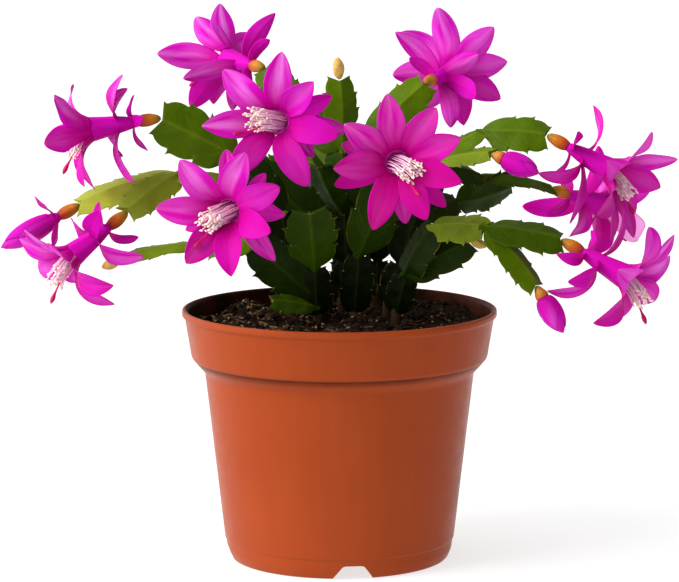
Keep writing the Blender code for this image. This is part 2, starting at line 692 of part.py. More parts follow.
def crown_skin(pose, tepals):
    """The tube, open at its throat, whose wall parts at the mouth into the crown's tepals."""
    tepals = sorted(tepals)
    clocks = [clock for clock, _, _ in tepals]
    before = [clocks[-1] - 360] + clocks[:-1]
    clefts = [(a + b) / 2 for a, b in zip(before, clocks)]
    turns = [angle for pair in zip(clefts, clocks) for angle in pair]
    bm = bmesh.new()

    def ring(station, radius):
        return [bm.verts.new(pose.at(station, radius, turn)) for turn in turns]

    rows = [ring(station, radius) for station, radius in TUBE_PROFILE]
    cleft = [bm.verts.new(pose.at(MOUTH, MOUTH_CLEFT, turn)) for turn in clefts]
    outside = [bm.verts.new(pose.at(MOUTH, MOUTH_OUTSIDE, turn)) for turn in clocks]
    inside = [bm.verts.new(pose.at(MOUTH, MOUTH_INSIDE, turn)) for turn in clocks]
    floor = ring(THROAT_FLOOR, THROAT_RADIUS)
    rows.append([vert for pair in zip(cleft, outside) for vert in pair])
    for low, high in zip(rows, rows[1:]):
        strip(bm, low, high)
    strip(bm, [vert for pair in zip(cleft, inside) for vert in pair], floor)
    bm.faces.new(rows[0])
    bm.faces.new(floor)
    for k, (clock, lean, length) in enumerate(tepals):
        n = (k + 1) % len(tepals)
        room = min((clefts[n] - clock) % 360, (clock - clefts[k]) % 360)
        rings, tip = tepal_rings(pose, CROWN, clock, lean, length, room)
        low = [cleft[n], inside[k], cleft[k], outside[k]]
        for points in rings[1:]:
            high = [bm.verts.new(point) for point in points]
            strip(bm, low, high)
            low = high
        apex = bm.verts.new(tip)
        for k_low in range(4):
            bm.faces.new((low[k_low], low[(k_low + 1) % 4], apex))
    return bm


def loose_tepals(pose, collar, skirt):
    bodies = []
    for whorl, tepals in ((COLLAR, collar), (SKIRT, skirt)):
        for clock, lean, length in tepals:
            rings, tip = tepal_rings(pose, whorl, clock, lean, length)
            bodies.append(loft(rings, end=tip))
    return bodies


def make_petals(name, bodies, collection):
    obj = unite(name, bodies, collection)
    return finish(obj, material("petal_magenta", (0.70, 0.012, 0.45), 0.5))


def make_ovary(name, pose, collection):
    obj = mesh_object(name, loft(pose.turned(OVARY_PROFILE, OVARY_SIDES)), collection)
    return finish(obj, material("ovary_orange", (0.45, 0.16, 0.03), 0.5))


def brush_curve(pose, tongue, share):
    """A point on the curve that the stamens and the style share, with its direction and its upward side."""
    start, bend = pose.at(THROAT_FLOOR + GAP), pose.at(MOUTH + 5)
    end = pose.at(MOUTH) + Vector(tongue).normalized() * STYLE_REACH
    point = start * (1 - share) ** 2 + bend * 2 * share * (1 - share) + end * share * share
    ahead, lift, drift = frame_of((bend - start) * (1 - share) + (end - bend) * share, pose.up)
    return point, ahead, lift, drift


def beside(pose, tongue, share, rise, drift):
    point, _, lift, side = brush_curve(pose, tongue, share)
    return point + lift * rise + side * drift


def rod(points, radii, sides):
    """A thin tapered rod along points, ending in a point."""
    rings = []
    for point, ahead, radius in zip(points, points[1:], radii):
        _, normal, side = frame_of(ahead - point, UP)
        rings.append(circle(point, normal, side, radius, sides))
    return loft(rings, end=points[-1])


def make_stamens(name, pose, tongue, collection):
    """A half-round core of bunched filaments, from which single ones fan out to their anthers."""
    core = []
    for share in (0.0, BRUSH_CORE_END / 2, BRUSH_CORE_END):
        turns = [math.radians(-90 + 36 * k) for k in range(6)]
        core.append([
            beside(pose, tongue, share, BRUSH_RADIUS * math.cos(t), BRUSH_RADIUS * math.sin(t)) for t in turns
        ])
    bodies = [loft(core)]
    for rise, drift, reach in FILAMENT_FANS:
        points = []
        for part in (0.0, 0.72, 0.86, 1.0):
            share = BRUSH_CORE_END - 0.03 + (reach - BRUSH_CORE_END) * part
            fan = 1 + (FAN_SPREAD - 1) * part
            points.append(beside(pose, tongue, share, rise * fan, drift * fan))
        bodies.append(rod(points, [FILAMENT_RADIUS, FILAMENT_RADIUS, ANTHER_RADIUS], 3))
    obj = unite(name, bodies, collection)
    return finish(obj, material("stamen_cream", (0.88, 0.62, 0.64), 0.55))


def make_style(name, pose, tongue, collection):
    """The style, in the plain lower half of the throat, and its pointed stigma."""
    stations = [(0.0, STYLE_RADIUS), (0.45, STYLE_RADIUS), (0.84, STYLE_RADIUS), (0.93, STIGMA_RADIUS)]
    points = [beside(pose, tongue, share, -STYLE_DROP, 0) for share, _ in stations + [(1.0, 0)]]
    obj = mesh_object(name, rod(points, [radius for _, radius in stations], 4), collection)
    return finish(obj, material("stigma_crimson", (0.55, 0.01, 0.14), 0.4))


def make_bloom(name, tip, facing, tongue, crown, collar, skirt, collection):
    pose = Pose(TIPS[tip], facing)
    make_ovary(name + "_ovary", pose, collection)
    bodies = [crown_skin(pose, crown)] + loose_tepals(pose, collar, skirt)
    make_petals(name + "_petals", bodies, collection)
    make_stamens(name + "_stamens", pose, tongue, collection)
    make_style(name + "_style", pose, tongue, collection)


def make_closed_bloom(name, tip, facing, skirt, collection):
    pose = Pose(TIPS[tip], facing)
    make_ovary(name + "_ovary", pose, collection)
    body = loft(pose.turned(CLOSED_PROFILE, BUD_SIDES), end=pose.at(CLOSED_TIP))
    make_petals(name + "_petals", [body] + loose_tepals(pose, [], skirt), collection)


def make_bud(name, tip, facing, collection):
    pose = Pose(TIPS[tip], facing)
    cup = mesh_object(name + "_cup", loft(pose.turned(BUD_CUP, BUD_SIDES)), collection)
    finish(cup, material("ovary_orange", (0.45, 0.16, 0.03), 0.5))
    body = loft(pose.turned(BUD_PETALS, BUD_SIDES), end=pose.at(BUD_TIP))
    make_petals(name + "_petals", [body], collection)


def make_young_bud(name, tip, facing, size, collection):
    pose = Pose(TIPS[tip], facing)
    rings = pose.turned([(s * size, r * size) for s, r in YOUNG_BUD], BUD_SIDES)
    obj = mesh_object(name, loft(rings, end=pose.at(YOUNG_TIP * size)), collection)
    finish(obj, material("ovary_orange", (0.45, 0.16, 0.03), 0.5))


def make_all():
    for obj in list(bpy.data.objects):
        bpy.data.objects.remove(obj)
    plant = bpy.data.collections.new("potted_christmas_cactus")
    cutters = bpy.data.collections.new("cutters")
    for collection in (plant, cutters):
        bpy.context.scene.collection.children.link(collection)
    make_pot(plant, cutters)
    roots = [runs[0][0][0][:2] for runs in STEMS.values()]
    make_soil(plant, cutters, roots)
    for name, runs in STEMS.items():
        make_stem(name, runs, plant)
    for name, bloom in BLOOMS.items():
        make_bloom(name, collection=plant, **bloom)
    for name, bloom in CLOSED_BLOOMS.items():
        make_closed_bloom(name, collection=plant, **bloom)
    for name, bud in BUDS.items():
        make_bud(name, collection=plant, **bud)
    for name, bud in YOUNG_BUDS.items():
        make_young_bud(name, collection=plant, **bud)


make_all()
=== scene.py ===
"""Looks of the potted Christmas cactus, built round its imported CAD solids.

Lengths are in millimetres and become metres as each mesh is made. The named values and the formulas for
where things stand are the CAD source's own; this script makes the same forms finer and gives them
materials.
"""
import json
import math

import bmesh
import bpy
import numpy as np
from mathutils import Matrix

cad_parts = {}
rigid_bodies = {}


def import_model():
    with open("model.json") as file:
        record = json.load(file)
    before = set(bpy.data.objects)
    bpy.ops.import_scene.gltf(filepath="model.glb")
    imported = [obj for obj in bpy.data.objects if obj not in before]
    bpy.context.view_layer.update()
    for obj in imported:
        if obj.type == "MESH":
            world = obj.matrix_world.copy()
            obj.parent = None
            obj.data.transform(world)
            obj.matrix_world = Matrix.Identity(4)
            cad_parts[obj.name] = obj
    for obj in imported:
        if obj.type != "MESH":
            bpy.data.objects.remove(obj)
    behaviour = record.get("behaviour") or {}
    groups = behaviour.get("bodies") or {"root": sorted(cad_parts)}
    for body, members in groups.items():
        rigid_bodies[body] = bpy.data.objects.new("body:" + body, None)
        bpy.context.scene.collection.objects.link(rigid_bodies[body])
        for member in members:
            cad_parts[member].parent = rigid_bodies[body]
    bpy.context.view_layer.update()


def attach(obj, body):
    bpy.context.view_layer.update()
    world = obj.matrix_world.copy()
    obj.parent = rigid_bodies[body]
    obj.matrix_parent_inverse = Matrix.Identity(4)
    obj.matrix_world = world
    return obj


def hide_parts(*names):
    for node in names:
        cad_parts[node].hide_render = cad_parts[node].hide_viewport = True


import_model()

MM = 0.001
RIGHT, FRONT, BACK, UP = (1, 0, 0), (0, -1, 0), (0, 1, 0), (0, 0, 1)
chance = np.random.default_rng(11)
draw = chance.uniform

# --- the CAD source's values ---
RIM_RADIUS, POT_HEIGHT, WALL, LIP_DROP = 65, 104, 1.4, 3.2
BAND_TOP, BAND_BOTTOM, SHOULDER, BODY_BOTTOM = (63.8, 100.8), (61.1, 84.1), (55.6, 77.8), (47.5, 7.1)
FOOT_RADIUS, FOOT_WALL, FLOOR_HEIGHT, FLOOR_THICKNESS = 45.4, 2.2, 8, 1.6
NOTCH_COUNT, NOTCH_TURN, NOTCH_HEIGHT, NOTCH_TOP_WIDTH, NOTCH_FOOT_WIDTH = 4, -83, 5.6, 10, 16
DRAIN_RADIUS, DRAIN_CIRCLE = 4.5, 28
SOIL_EDGE_HEIGHT, SOIL_MOUND = 96.5, 4.5
ROOT_RADIUS, ROOT_BOTTOM, ROOT_TOP = 2.3, 88, 105
GAP = 0.3
RIB_THICKNESS, EDGE_THICKNESS, SEGMENT_ARCH, JOINT_WIDTH, RIB_END = 2.5, 0.9, 0.05, 0.24, 0.93
TIP_SEAT = 1.75
OVARY_LENGTH, MOUTH, MOUTH_RADIUS = 9, 28, 4.9
# The whorls of petals: their station up the tube, the radius there, the angle to the axis that a petal starts
# at, its width, and the most that it turns about its length.
SKIRT = (10, 0.9, 60, 5.5, 0.3)
COLLAR = (15.5, 1.6, 45, 8.5, 0.26)
CROWN = (MOUTH, MOUTH_RADIUS, 22, 11.5, 0.3)
THROAT_FLOOR, STYLE_REACH, STYLE_DROP = 20, 22, 0.9

# Each stem is a list of runs. A run has the name of the tip it ends in, its joints from the soil or a fork to
# that tip, and for each segment its width, the way it faces, and how old and how shaded it is: 0 is fresh, 1
# the oldest, and values near 1 also paint near-black shade on segments deep in the plant or under others.
STEMS = {
    "stem_left": [
        ("left_high", [(-16, 2, 103), (-19, 0, 122), (-24, -3, 144), (-43, -1, 167), (-72, -6, 182)],
         [(12, FRONT, 1), (17, FRONT, 1), (18, FRONT, 0.95), (22, (0.1, -1, 0.2), 0.6)]),
        ("left_end", [(-24, -3, 144), (-45, 7, 156), (-67, 8, 158), (-106, 6, 146)],
         [(16, (-0.3, -0.8, 0.5), 0.6), (15, (0, -0.3, 0.95), 0.3), (19, (0.1, -0.4, 0.9), 0.24)]),
        ("left_low", [(-67, 8, 158), (-86, -8, 145)], [(16, (-0.1, -0.75, 0.6), 0.32)]),
    ],
    "stem_front_left": [
        (None, [(-9, -17, 103), (-10, -24, 124), (-12, -33, 147)],
         [(14, FRONT, 1), (21, (0, -0.95, 0.3), 0.82)]),
        ("front_low", [(-10, -20, 112), (-34, -24, 134), (-32, -40, 154)],
         [(21, (-0.2, -0.95, -0.1), 0.95), (17, (-0.9, -0.4, 0.2), 0.8)]),
        ("left_bottom", [(-34, -24, 134), (-60, -20, 132), (-88, -16, 126)],
         [(17, (0, -0.5, 0.85), 0.5), (14, (0, -0.25, 0.97), 0.4)]),
        (None, [(-10, -20, 107), (-27, -24, 110)], [(9, (0, -0.8, 0.6), 0.8)]),
    ],
    "stem_centre": [
        ("top_middle", [(1, 12, 103), (3, 13, 121), (2, 13, 142), (1, 15, 168), (0, 17, 196)],
         [(13, FRONT, 1), (17, FRONT, 1), (18, FRONT, 0.85), (15, (0.3, -0.95, 0), 0.6)]),
        ("front_high", [(2, 13, 142), (-8, 0, 163), (-16, -17, 181)],
         [(17, (-0.6, -0.8, 0.2), 0.9), (15, (-0.9, -0.4, 0.2), 0.75)]),
        ("top_left", [(1, 15, 168), (-17, 26, 184), (-31, 35, 199)],
         [(16, (0, -0.9, 0.4), 0.75), (15, (0, -0.9, 0.4), 0.62)]),
    ],
    "stem_back_right": [
        ("top_right", [(15, 19, 103), (16, 20, 121), (14, 22, 146), (13, 25, 172), (35, 31, 193)],
         [(13, FRONT, 1), (17, FRONT, 1), (18, FRONT, 0.82), (17, (-0.2, -0.9, 0.4), 0.5)]),
    ],
    "stem_front_right": [
        ("front_right", [(6, -10, 103), (8, -15, 128), (22, -24, 164)],
         [(14, FRONT, 1), (20, (0.1, -0.95, 0.2), 0.88)]),
    ],
    "stem_right_high": [
        ("right_high", [(20, 4, 103), (25, 3, 122), (32, 3, 143), (38, 4, 162), (59, 5, 176), (84, 0, 175)],
         [(13, FRONT, 1), (16, FRONT, 1), (16, FRONT, 0.95), (14, (-0.3, -0.4, 0.85), 0.5),
          (18, (0, -0.75, 0.65), 0.6)]),
        ("right_bud", [(38, 4, 162), (61, -10, 168)], [(14, (0.1, -0.5, 0.85), 0.38)]),
        ("right_back", [(38, 4, 162), (59, 18, 156), (88, 28, 150)],
         [(15, (0, -0.6, 0.8), 0.85), (14, (0.3, -0.2, 0.95), 0.75)]),
        (None, [(32, 3, 143), (49, 14, 146), (71, 25, 152)],
         [(14, (0, -0.8, 0.4), 0.9), (17, (0, -0.8, -0.4), 0.85)]),
    ],
    "stem_right_low": [
        ("right_low", [(23, -12, 103), (27, -15, 120), (38, -23, 140), (59, -34, 141), (88, -31, 136)],
         [(13, FRONT, 1), (19, (-0.7, -0.6, 0.4), 0.95), (20, (0.05, -0.55, 0.83), 0.38),
          (17, (0, -0.6, 0.8), 0.72)]),
        ("right_bottom", [(59, -34, 141), (78, -37, 119)], [(15, (0.5, -0.6, 0.6), 0.55)]),
        ("right_under", [(27, -15, 120), (52, -22, 134)], [(16, (-0.2, -0.9, 0.3), 0.9)]),
    ],
    "stem_back": [
        (None, [(4, 34, 103), (2, 38, 124), (-6, 46, 146), (-14, 60, 166)],
         [(13, (0, 1, 0), 1), (17, (0, 1, 0.2), 0.9), (18, (0, 1, 0.6), 0.6)]),
        (None, [(-6, 46, 146), (-30, 58, 158), (-46, 78, 162)],
         [(17, (0, 0.8, 0.6), 0.7), (17, (0, 0.6, 0.8), 0.5)]),
        (None, [(2, 38, 124), (20, 56, 138), (28, 80, 154)],
         [(17, (0, 0.8, 0.6), 0.7), (17, (0, 0.6, 0.8), 0.5)]),
        (None, [(2, 38, 124), (-33, 42, 154)], [(22, (0, -1, 0.1), 0.92)]),
    ],
}

# Each bloom has the way it faces, the direction of its stamens and style, how far it leans from pink to
# crimson, and the petals of its crown, its collar and its skirt. A petal is (clock, lean, length): the clock
# angle round the bloom's axis, the angle its end makes with the axis, and its length.
BLOOMS = {
    "top_left": ((-0.55, 0.83, 0.05), (-0.8, 0.3, -0.5), 0.15,
        [(15, 35, 24), (85, 70, 27), (158, 65, 25), (192, 55, 25), (240, 70, 24), (292, 75, 24),
         (342, 55, 27)],
        [(105, 85, 26), (185, 70, 23), (320, 100, 27)], [(335, 150, 15), (165, 150, 12)]),
    "left_high": ((-0.97, -0.18, -0.14), (-0.55, -0.25, -0.8), 0.25,
        [(45, 70, 25), (95, 35, 24), (140, 95, 25), (200, 120, 26), (255, 60, 24), (310, 115, 24)],
        [(150, 112, 26), (310, 140, 22), (15, 125, 22), (230, 115, 24)],
        [(180, 130, 13), (330, 120, 12), (80, 125, 12)]),
    "left_low": ((-0.75, -0.33, -0.57), (-0.45, -0.3, -0.85), 0.2,
        [(5, 75, 21), (50, 90, 22), (118, 130, 26), (162, 128, 25), (212, 135, 20), (262, 85, 24),
         (312, 75, 21)],
        [(122, 138, 26), (50, 130, 20), (290, 112, 20)], [(130, 150, 15), (10, 130, 12)]),
    "front_high": ((-0.28, -0.95, 0.1), (-0.8, -0.6, 0.05), 0.2,
        [(10, 85, 27), (48, 75, 24), (100, 105, 25), (150, 115, 27), (215, 95, 26), (265, 75, 27),
         (315, 95, 27)],
        [(60, 95, 22), (95, 120, 25), (135, 75, 20), (290, 115, 22)], [(70, 120, 12), (200, 120, 13)]),
    "front_low": ((-0.4, -0.9, -0.1), (-0.7, -0.55, -0.45), 0.4,
        [(22, 110, 24), (65, 115, 24), (105, 80, 22), (160, 65, 25), (210, 45, 25), (275, 75, 25),
         (325, 85, 25)],
        [(95, 80, 23), (150, 110, 26), (245, 78, 24), (345, 115, 22)], [(30, 130, 13), (200, 120, 12)]),
    "front_right": ((0.0, -0.98, 0.15), (0.5, -0.8, -0.35), 0.7,
        [(350, 80, 26), (37, 80, 25), (70, 78, 26), (108, 80, 26), (155, 90, 24), (200, 95, 27),
         (262, 75, 25), (305, 85, 24)],
        [(130, 105, 26), (170, 125, 25), (250, 108, 26), (290, 112, 23)], [(80, 130, 13), (220, 120, 12)]),
    "top_right": ((0.36, 0.9, 0.08), (0.6, 0.75, -0.2), 0.1,
        [(15, 95, 26), (320, 60, 25), (275, 45, 25), (232, 60, 24), (185, 75, 25), (135, 90, 24),
         (95, 112, 25), (55, 112, 26)],
        [(45, 115, 27), (200, 140, 24), (250, 140, 22), (300, 110, 20)], [(45, 125, 14), (120, 130, 13)]),
    "right_high": ((0.86, -0.22, -0.46), (0.5, -0.25, -0.8), 0.3,
        [(335, 90, 25), (28, 35, 26), (88, 42, 25), (135, 60, 25), (172, 42, 27), (206, 70, 27),
         (240, 100, 27), (285, 122, 24)],
        [(35, 140, 24), (190, 82, 28), (225, 160, 24)], [(305, 100, 16), (170, 125, 18)]),
    "right_back": ((0.74, 0.6, -0.3), (0.6, 0.3, -0.75), 0.3,
        [(5, 75, 24), (50, 75, 24), (95, 60, 24), (138, 55, 24), (188, 135, 22), (246, 115, 26),
         (310, 95, 23)],
        [(112, 155, 28), (205, 150, 24), (345, 120, 24)], [(150, 140, 13), (40, 130, 12)]),
    "right_low": ((0.85, -0.25, -0.46), (0.45, -0.25, -0.85), 0.25,
        [(335, 120, 25), (20, 85, 23), (66, 85, 25), (108, 68, 24), (160, 130, 26), (228, 120, 26),
         (284, 125, 24)],
        [(248, 125, 24), (205, 155, 26), (20, 115, 24)], [(255, 160, 16), (50, 130, 12)]),
}
# The bloom that is hardly open: the way it faces, and its skirt.
CLOSED = (-0.86, -0.2, -0.45), [(10, 75, 13), (140, 50, 14), (255, 60, 13)]
# The tone of one crown petal that is old and nearly see-through; it is painted light pink in place of the
# light that shines through it.
PALE = {("right_back", 246): 2.0}
# The tip that each bud sits on, the way it faces, and a young bud's size.
BUDS = {
    "bud_right_high": ("right_bud", (0.87, -0.37, -0.32)),
    "bud_right_low": ("right_bottom", (0.5, -0.17, -0.85)),
}
YOUNG_BUDS = {
    "bud_top_young": ("top_middle", (-0.1, -0.1, 1.0), 1.0),
    "bud_left_young": ("left_bottom", (-0.9, -0.1, -0.35), 0.9),
    "bud_right_young": ("right_under", (0.85, -0.35, -0.35), 0.8),
}

# --- this script's own values ---
POT_SIDES, SOIL_SIDES, TUBE_SIDES, BUD_SIDES, CUP_SIDES = 176, 200, 42, 36, 28
CRUMB_COUNT, BIG_CRUMB_COUNT, BARK_COUNT, THREAD_COUNT, THREAD_RADIUS = 3000, 260, 420, 66, 0.23
# The soil's waves, long ones first: direction, phase, pitch and height.
WAVES = [(draw(0, 2 * np.pi), draw(0, 2 * np.pi), 2 * np.pi / size, size * 0.028)
         for size in (34, 27, 21, 17, 13, 10, 8, 6.5, 5, 4, 3.2, 2.6) for _ in range(2)]
# Columns of a segment, from its rib to its edge. Teeth shape only those beyond the last calm one.
ACROSS = np.array([0, 0.07, 0.16, 0.3, 0.46, 0.62, 0.77, 0.89, 0.96, 1])
CALM_END = 0.7
# Columns of a petal from edge to edge, and the same ones round both of its faces.
COLUMNS = np.array([-1, -0.93, -0.8, -0.62, -0.42, -0.22, -0.08, 0, 0.08, 0.22, 0.42, 0.62, 0.8, 0.93, 1])
BOTH_FACES = np.concatenate([COLUMNS, COLUMNS[::-1][1:-1]])
THROAT, BUD_DEEP, BRUSH_START = 24.3, 0.3, 0.14


# --- vectors ---
def vec(*values):
    return np.array(values, float)


def unit(v):
    v = np.asarray(v, float)
    return v / np.linalg.norm(v, axis=-1, keepdims=True)


def square(axis, hint):
    """Unit axis, the hint made square to it, and their side vector. Works on rows of vectors too."""
    axis = unit(axis)
    hint = np.asarray(hint, float)
    normal = unit(hint - axis * (hint * axis).sum(-1, keepdims=True))
    return axis, normal, np.cross(axis, normal)


def smooth(x):
    x = np.clip(x, 0, 1)
    return x * x * (3 - 2 * x)


def circle(sides):
    return 2 * np.pi * np.arange(sides) / sides


def bezier(a, b, c, count):
    """Points of a quadratic curve from a to c, without a itself."""
    t = np.linspace(0, 1, count + 1)[1:, None]
    a, b, c = vec(*a), vec(*b), vec(*c)
    return a * (1 - t) ** 2 + b * 2 * t * (1 - t) + c * t * t


def curve_through(pairs, count):
    """A smooth (station, radius) profile through a few pairs."""
    pairs = np.array(pairs, float)
    where = np.concatenate([[0], np.cumsum(np.linalg.norm(np.diff(pairs, axis=0), axis=1))])
    grid = np.linspace(0, where[-1], count)
    slope = np.gradient(pairs, where, axis=0)
    index = np.clip(np.searchsorted(where, grid, "right") - 1, 0, len(where) - 2)
    span = (where[index + 1] - where[index])[:, None]
    t = (grid - where[index])[:, None] / span
    a, b = pairs[index], pairs[index + 1]
    return (a * (2 * t ** 3 - 3 * t ** 2 + 1) + slope[index] * span * (t ** 3 - 2 * t ** 2 + t)
            + b * (3 * t ** 2 - 2 * t ** 3) + slope[index + 1] * span * (t ** 3 - t ** 2))


def ring_round(centre, normal, side, radius, sides):
    turns = circle(sides)
    return centre + np.cos(turns)[:, None] * radius * normal + np.sin(turns)[:, None] * radius * side


def level_ring(radius, height, sides):
    return ring_round(vec(0, 0, height), vec(*RIGHT), vec(*BACK), radius, sides)


def rod_rings(points, radii, sides, hint=UP):
    """Rings along a bent rod."""
    points = np.asarray(points, float)
    ahead = np.gradient(points, axis=0)
    _, normal, side = square(ahead, np.broadcast_to(vec(*hint), ahead.shape))
    turns = circle(sides)[None, :, None]
    radii = np.asarray(radii, float)[:, None, None]
    return points[:, None] + np.cos(turns) * radii * normal[:, None] + np.sin(turns) * radii * side[:, None]


# --- meshes ---
class Skin:
    """Gathers closed skins in millimetres, with per-point values, and makes them one piece."""

    def __init__(self, *tags):
        self.points, self.faces, self.count = [], [], 0
        self.values = {tag: [] for tag in tags}

    def add(self, points, faces, values):
        self.points.append(points)
        self.faces.extend((np.asarray(face) + self.count).tolist() for face in faces)
        for tag, kept in self.values.items():
            kept.append(np.broadcast_to(np.asarray(values[tag], float), len(points)))
        self.count += len(points)

    def loft(self, rings, values=(), root=None, tip=None):
        """A skin through rings (m, k, 3), each end flat or drawn to a point. Values are (m, k) arrays."""
        m, k, _ = np.shape(rings)
        row, column = np.arange(m - 1)[:, None] * k, np.arange(k)
        a, b = row + column, row + (column + 1) % k
        faces = list(np.stack([a, b, b + k, a + k], -1).reshape(-1, 4))
        points = np.reshape(rings, (-1, 3))
        values = {tag: np.broadcast_to(value, (m, k)).reshape(-1) for tag, value in dict(values).items()}
        for first, point in ((0, root), ((m - 1) * k, tip)):
            if point is None:
                faces.append(first + column)
                continue
            faces.extend((first + n, first + (n + 1) % k, len(points)) for n in range(k))
            points = np.vstack([points, point])
            values = {tag: np.append(value, value[first:first + k].mean()) for tag, value in values.items()}
        self.add(points, faces, values)

    def mesh(self, name):
        mesh = bpy.data.meshes.new(name)
        mesh.from_pydata((np.vstack(self.points) * MM).tolist(), [], self.faces)
        bm = bmesh.new()
        bm.from_mesh(mesh)
        bmesh.ops.recalc_face_normals(bm, faces=bm.faces)
        bm.to_mesh(mesh)
        bm.free()
        for tag, kept in self.values.items():
            layer = mesh.attributes.new(tag, "FLOAT", "POINT")
            layer.data.foreach_set("value", np.concatenate(kept).astype(np.float32))
        return mesh

    def piece(self, name, *rest):
        make_piece(name, self.mesh(name), *rest)


def add_object(name, data):
    obj = bpy.data.objects.new(name, data)
    bpy.context.scene.collection.objects.link(obj)
    return obj


def make_piece(name, mesh, node, slot, material, sharp=None):
    """Makes a mesh a piece. Edges bent by more than sharp degrees stay sharp, and 0 leaves it all flat."""
    obj = add_object(name, mesh)
    mesh.materials.append(material)
    if sharp != 0:
        mesh.shade_smooth()
        if sharp:
            mesh.set_sharp_from_angle(angle=math.radians(sharp))
    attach(obj, "root")
    if node:
        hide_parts(node)


# --- materials ---
class Graph:
    """Short calls for the nodes of a material or of the world."""

    def __init__(self, owner):
        owner.use_nodes = True
        self.tree = owner.node_tree

    def node(self, kind, inputs=(), out=0, **settings):
        """Adds a node and returns one of its outputs."""
        node = self.tree.nodes.new("ShaderNode" + kind)
        for key, value in settings.items():
            setattr(node, key, value)
        for key, value in dict(inputs).items():
            self.feed(node.inputs[key], value)
        return node.outputs[out]

    def feed(self, socket, value):
        if isinstance(value, bpy.types.NodeSocket):
            self.tree.links.new(value, socket)
        elif socket.type == "RGBA" and len(value) == 3:
            socket.default_value = (*value, 1)
        else:
            socket.default_value = value

    def math(self, operation, a, b):
        return self.node("Math", {0: a, 1: b}, operation=operation)

    def times(self, a, b):
        return self.math("MULTIPLY", a, b)


class Shade(Graph):
    """A Principled material, and the patterns that its colour and surface are mixed from."""

    def __init__(self, name, **sockets):
        self.material = bpy.data.materials.new(name)
        super().__init__(self.material)
        self.place = self.node("TexCoord", out="Object")
        self.set(**sockets)

    def set(self, **sockets):
        """Sets or links the shader's sockets, and returns the material."""
        shader = self.tree.nodes["Principled BSDF"]
        for socket, value in sockets.items():
            self.feed(shader.inputs[socket.replace("_", " ")], value)
        return self.material

    def tag(self, name):
        return self.node("Attribute", out="Fac", attribute_name=name)

    def point(self, x, y, z=0):
        return self.node("CombineXYZ", {"X": x, "Y": y, "Z": z})

    def noise(self, scale, detail=2, rough=0.55, vector=None):
        return self.node("TexNoise", {"Vector": vector or self.place, "Scale": scale, "Detail": detail,
                                      "Roughness": rough})

    def remap(self, value, low, high, to_low=0, to_high=1):
        return self.node("MapRange", {"Value": value, "From Min": low, "From Max": high, "To Min": to_low,
                                      "To Max": to_high})

    def mix(self, factor, base, colour):
        return self.node("Mix", {0: factor, 6: base, 7: colour}, out=2, data_type="RGBA")

    def flecks(self, base, mask, low, high, most, colour):
        """The base, with up to so much of a colour mixed in as the mask goes from low to high."""
        return self.mix(self.remap(mask, low, high, 0, most), base, colour)

    def stops(self, value, *stops):
        """A colour ramp through stops, each a position and its red, green and blue."""
        colour = self.node("ValToRGB", {"Fac": value})
        elements = colour.node.color_ramp.elements
        while len(elements) < len(stops):
            elements.new(0.5)
        for element, (position, *mix) in zip(elements, stops):
            element.position = position
            element.color = (*rgb(*mix), 1)
        return colour

    def bump(self, height, strength, distance, normal=None):
        inputs = {"Height": height, "Strength": strength, "Distance": distance}
        if normal:
            inputs["Normal"] = normal
        return self.node("Bump", inputs)

    def rough(self, noise, low, high):
        return self.remap(noise, 0.3, 0.7, low, high)


def rgb(r, g, b):
    """A colour given as 0 to 255 screen values."""
    return tuple(((v / 255 + 0.055) / 1.055) ** 2.4 if v > 10 else v / 255 / 12.92 for v in (r, g, b))


def pot_material():
    m = Shade("pot_plastic", IOR=1.46, Specular_Tint=(1, 0.72, 0.45))
    base = m.mix(m.remap(m.noise(14, 3), 0.35, 0.65), rgb(149, 61, 28), rgb(157, 66, 31))
    upright = m.node("Mapping", {"Vector": m.place, "Scale": (260, 260, 9)})
    base = m.flecks(base, m.noise(1, vector=upright), 0.45, 0.75, 0.1, rgb(172, 78, 36))
    base = m.flecks(base, m.noise(900), 0.7, 0.8, 0.25, rgb(122, 42, 20))

    # Soil stains and painted shade darken the inner wall, from the soil's level up to the lip. The wall leans
    # out as it rises.
    spot = m.node("SeparateXYZ", {"Vector": m.place}).node.outputs
    radius = m.node("VectorMath", {0: m.point(spot["X"], spot["Y"])}, out="Value", operation="LENGTH")
    wall = m.math("ADD", m.times(spot["Z"], 0.16), 0.0469)
    depth = m.math("SUBTRACT", radius, wall)
    inside = m.times(m.remap(depth, 0, 0.0004, 1, 0), m.remap(spot["Z"], 0.08, 0.084))
    # The near-black mix on the inner wall is soil stains with painted shade.
    soil_stain_and_shade = m.remap(m.noise(90, 4), 0.3, 0.6, 0.8, 0.97)
    base = m.mix(m.times(inside, soil_stain_and_shade), base, rgb(16, 10, 7))
    sheen = m.remap(inside, 0, 1, 0.1, 0.02)

    grain = m.bump(m.noise(2600), 0.1, 0.0002)
    wave = m.bump(m.noise(45), 0.1, 0.002, grain)
    rough = m.rough(m.noise(120, 3), 0.3, 0.42)
    return m.set(Base_Color=base, Roughness=rough, Specular_IOR_Level=sheen, Normal=wave)


def soil_material():
    m = Shade("soil_mix", Roughness=0.95, Specular_IOR_Level=0.06)
    base = m.stops(m.noise(420, 6, 0.7), (0.3, 14, 10, 8), (0.52, 38, 26, 18), (0.66, 66, 46, 30),
                   (0.8, 120, 92, 60))
    return m.set(Base_Color=base, Normal=m.bump(m.noise(900, 5, 0.7), 0.9, 0.0012))


def crumb_material():
    m = Shade("soil_crumb", Roughness=0.92, Specular_IOR_Level=0.1)
    base = m.stops(m.tag("tone"), (0, 12, 9, 7), (0.45, 36, 24, 16), (0.75, 74, 50, 30), (0.9, 120, 88, 52),
                   (1, 196, 168, 120))
    base = m.flecks(base, m.noise(1200, 3), 0.35, 0.7, 0.5, rgb(16, 11, 7))
    return m.set(Base_Color=base, Normal=m.bump(m.noise(2200, 3), 0.6, 0.0004))


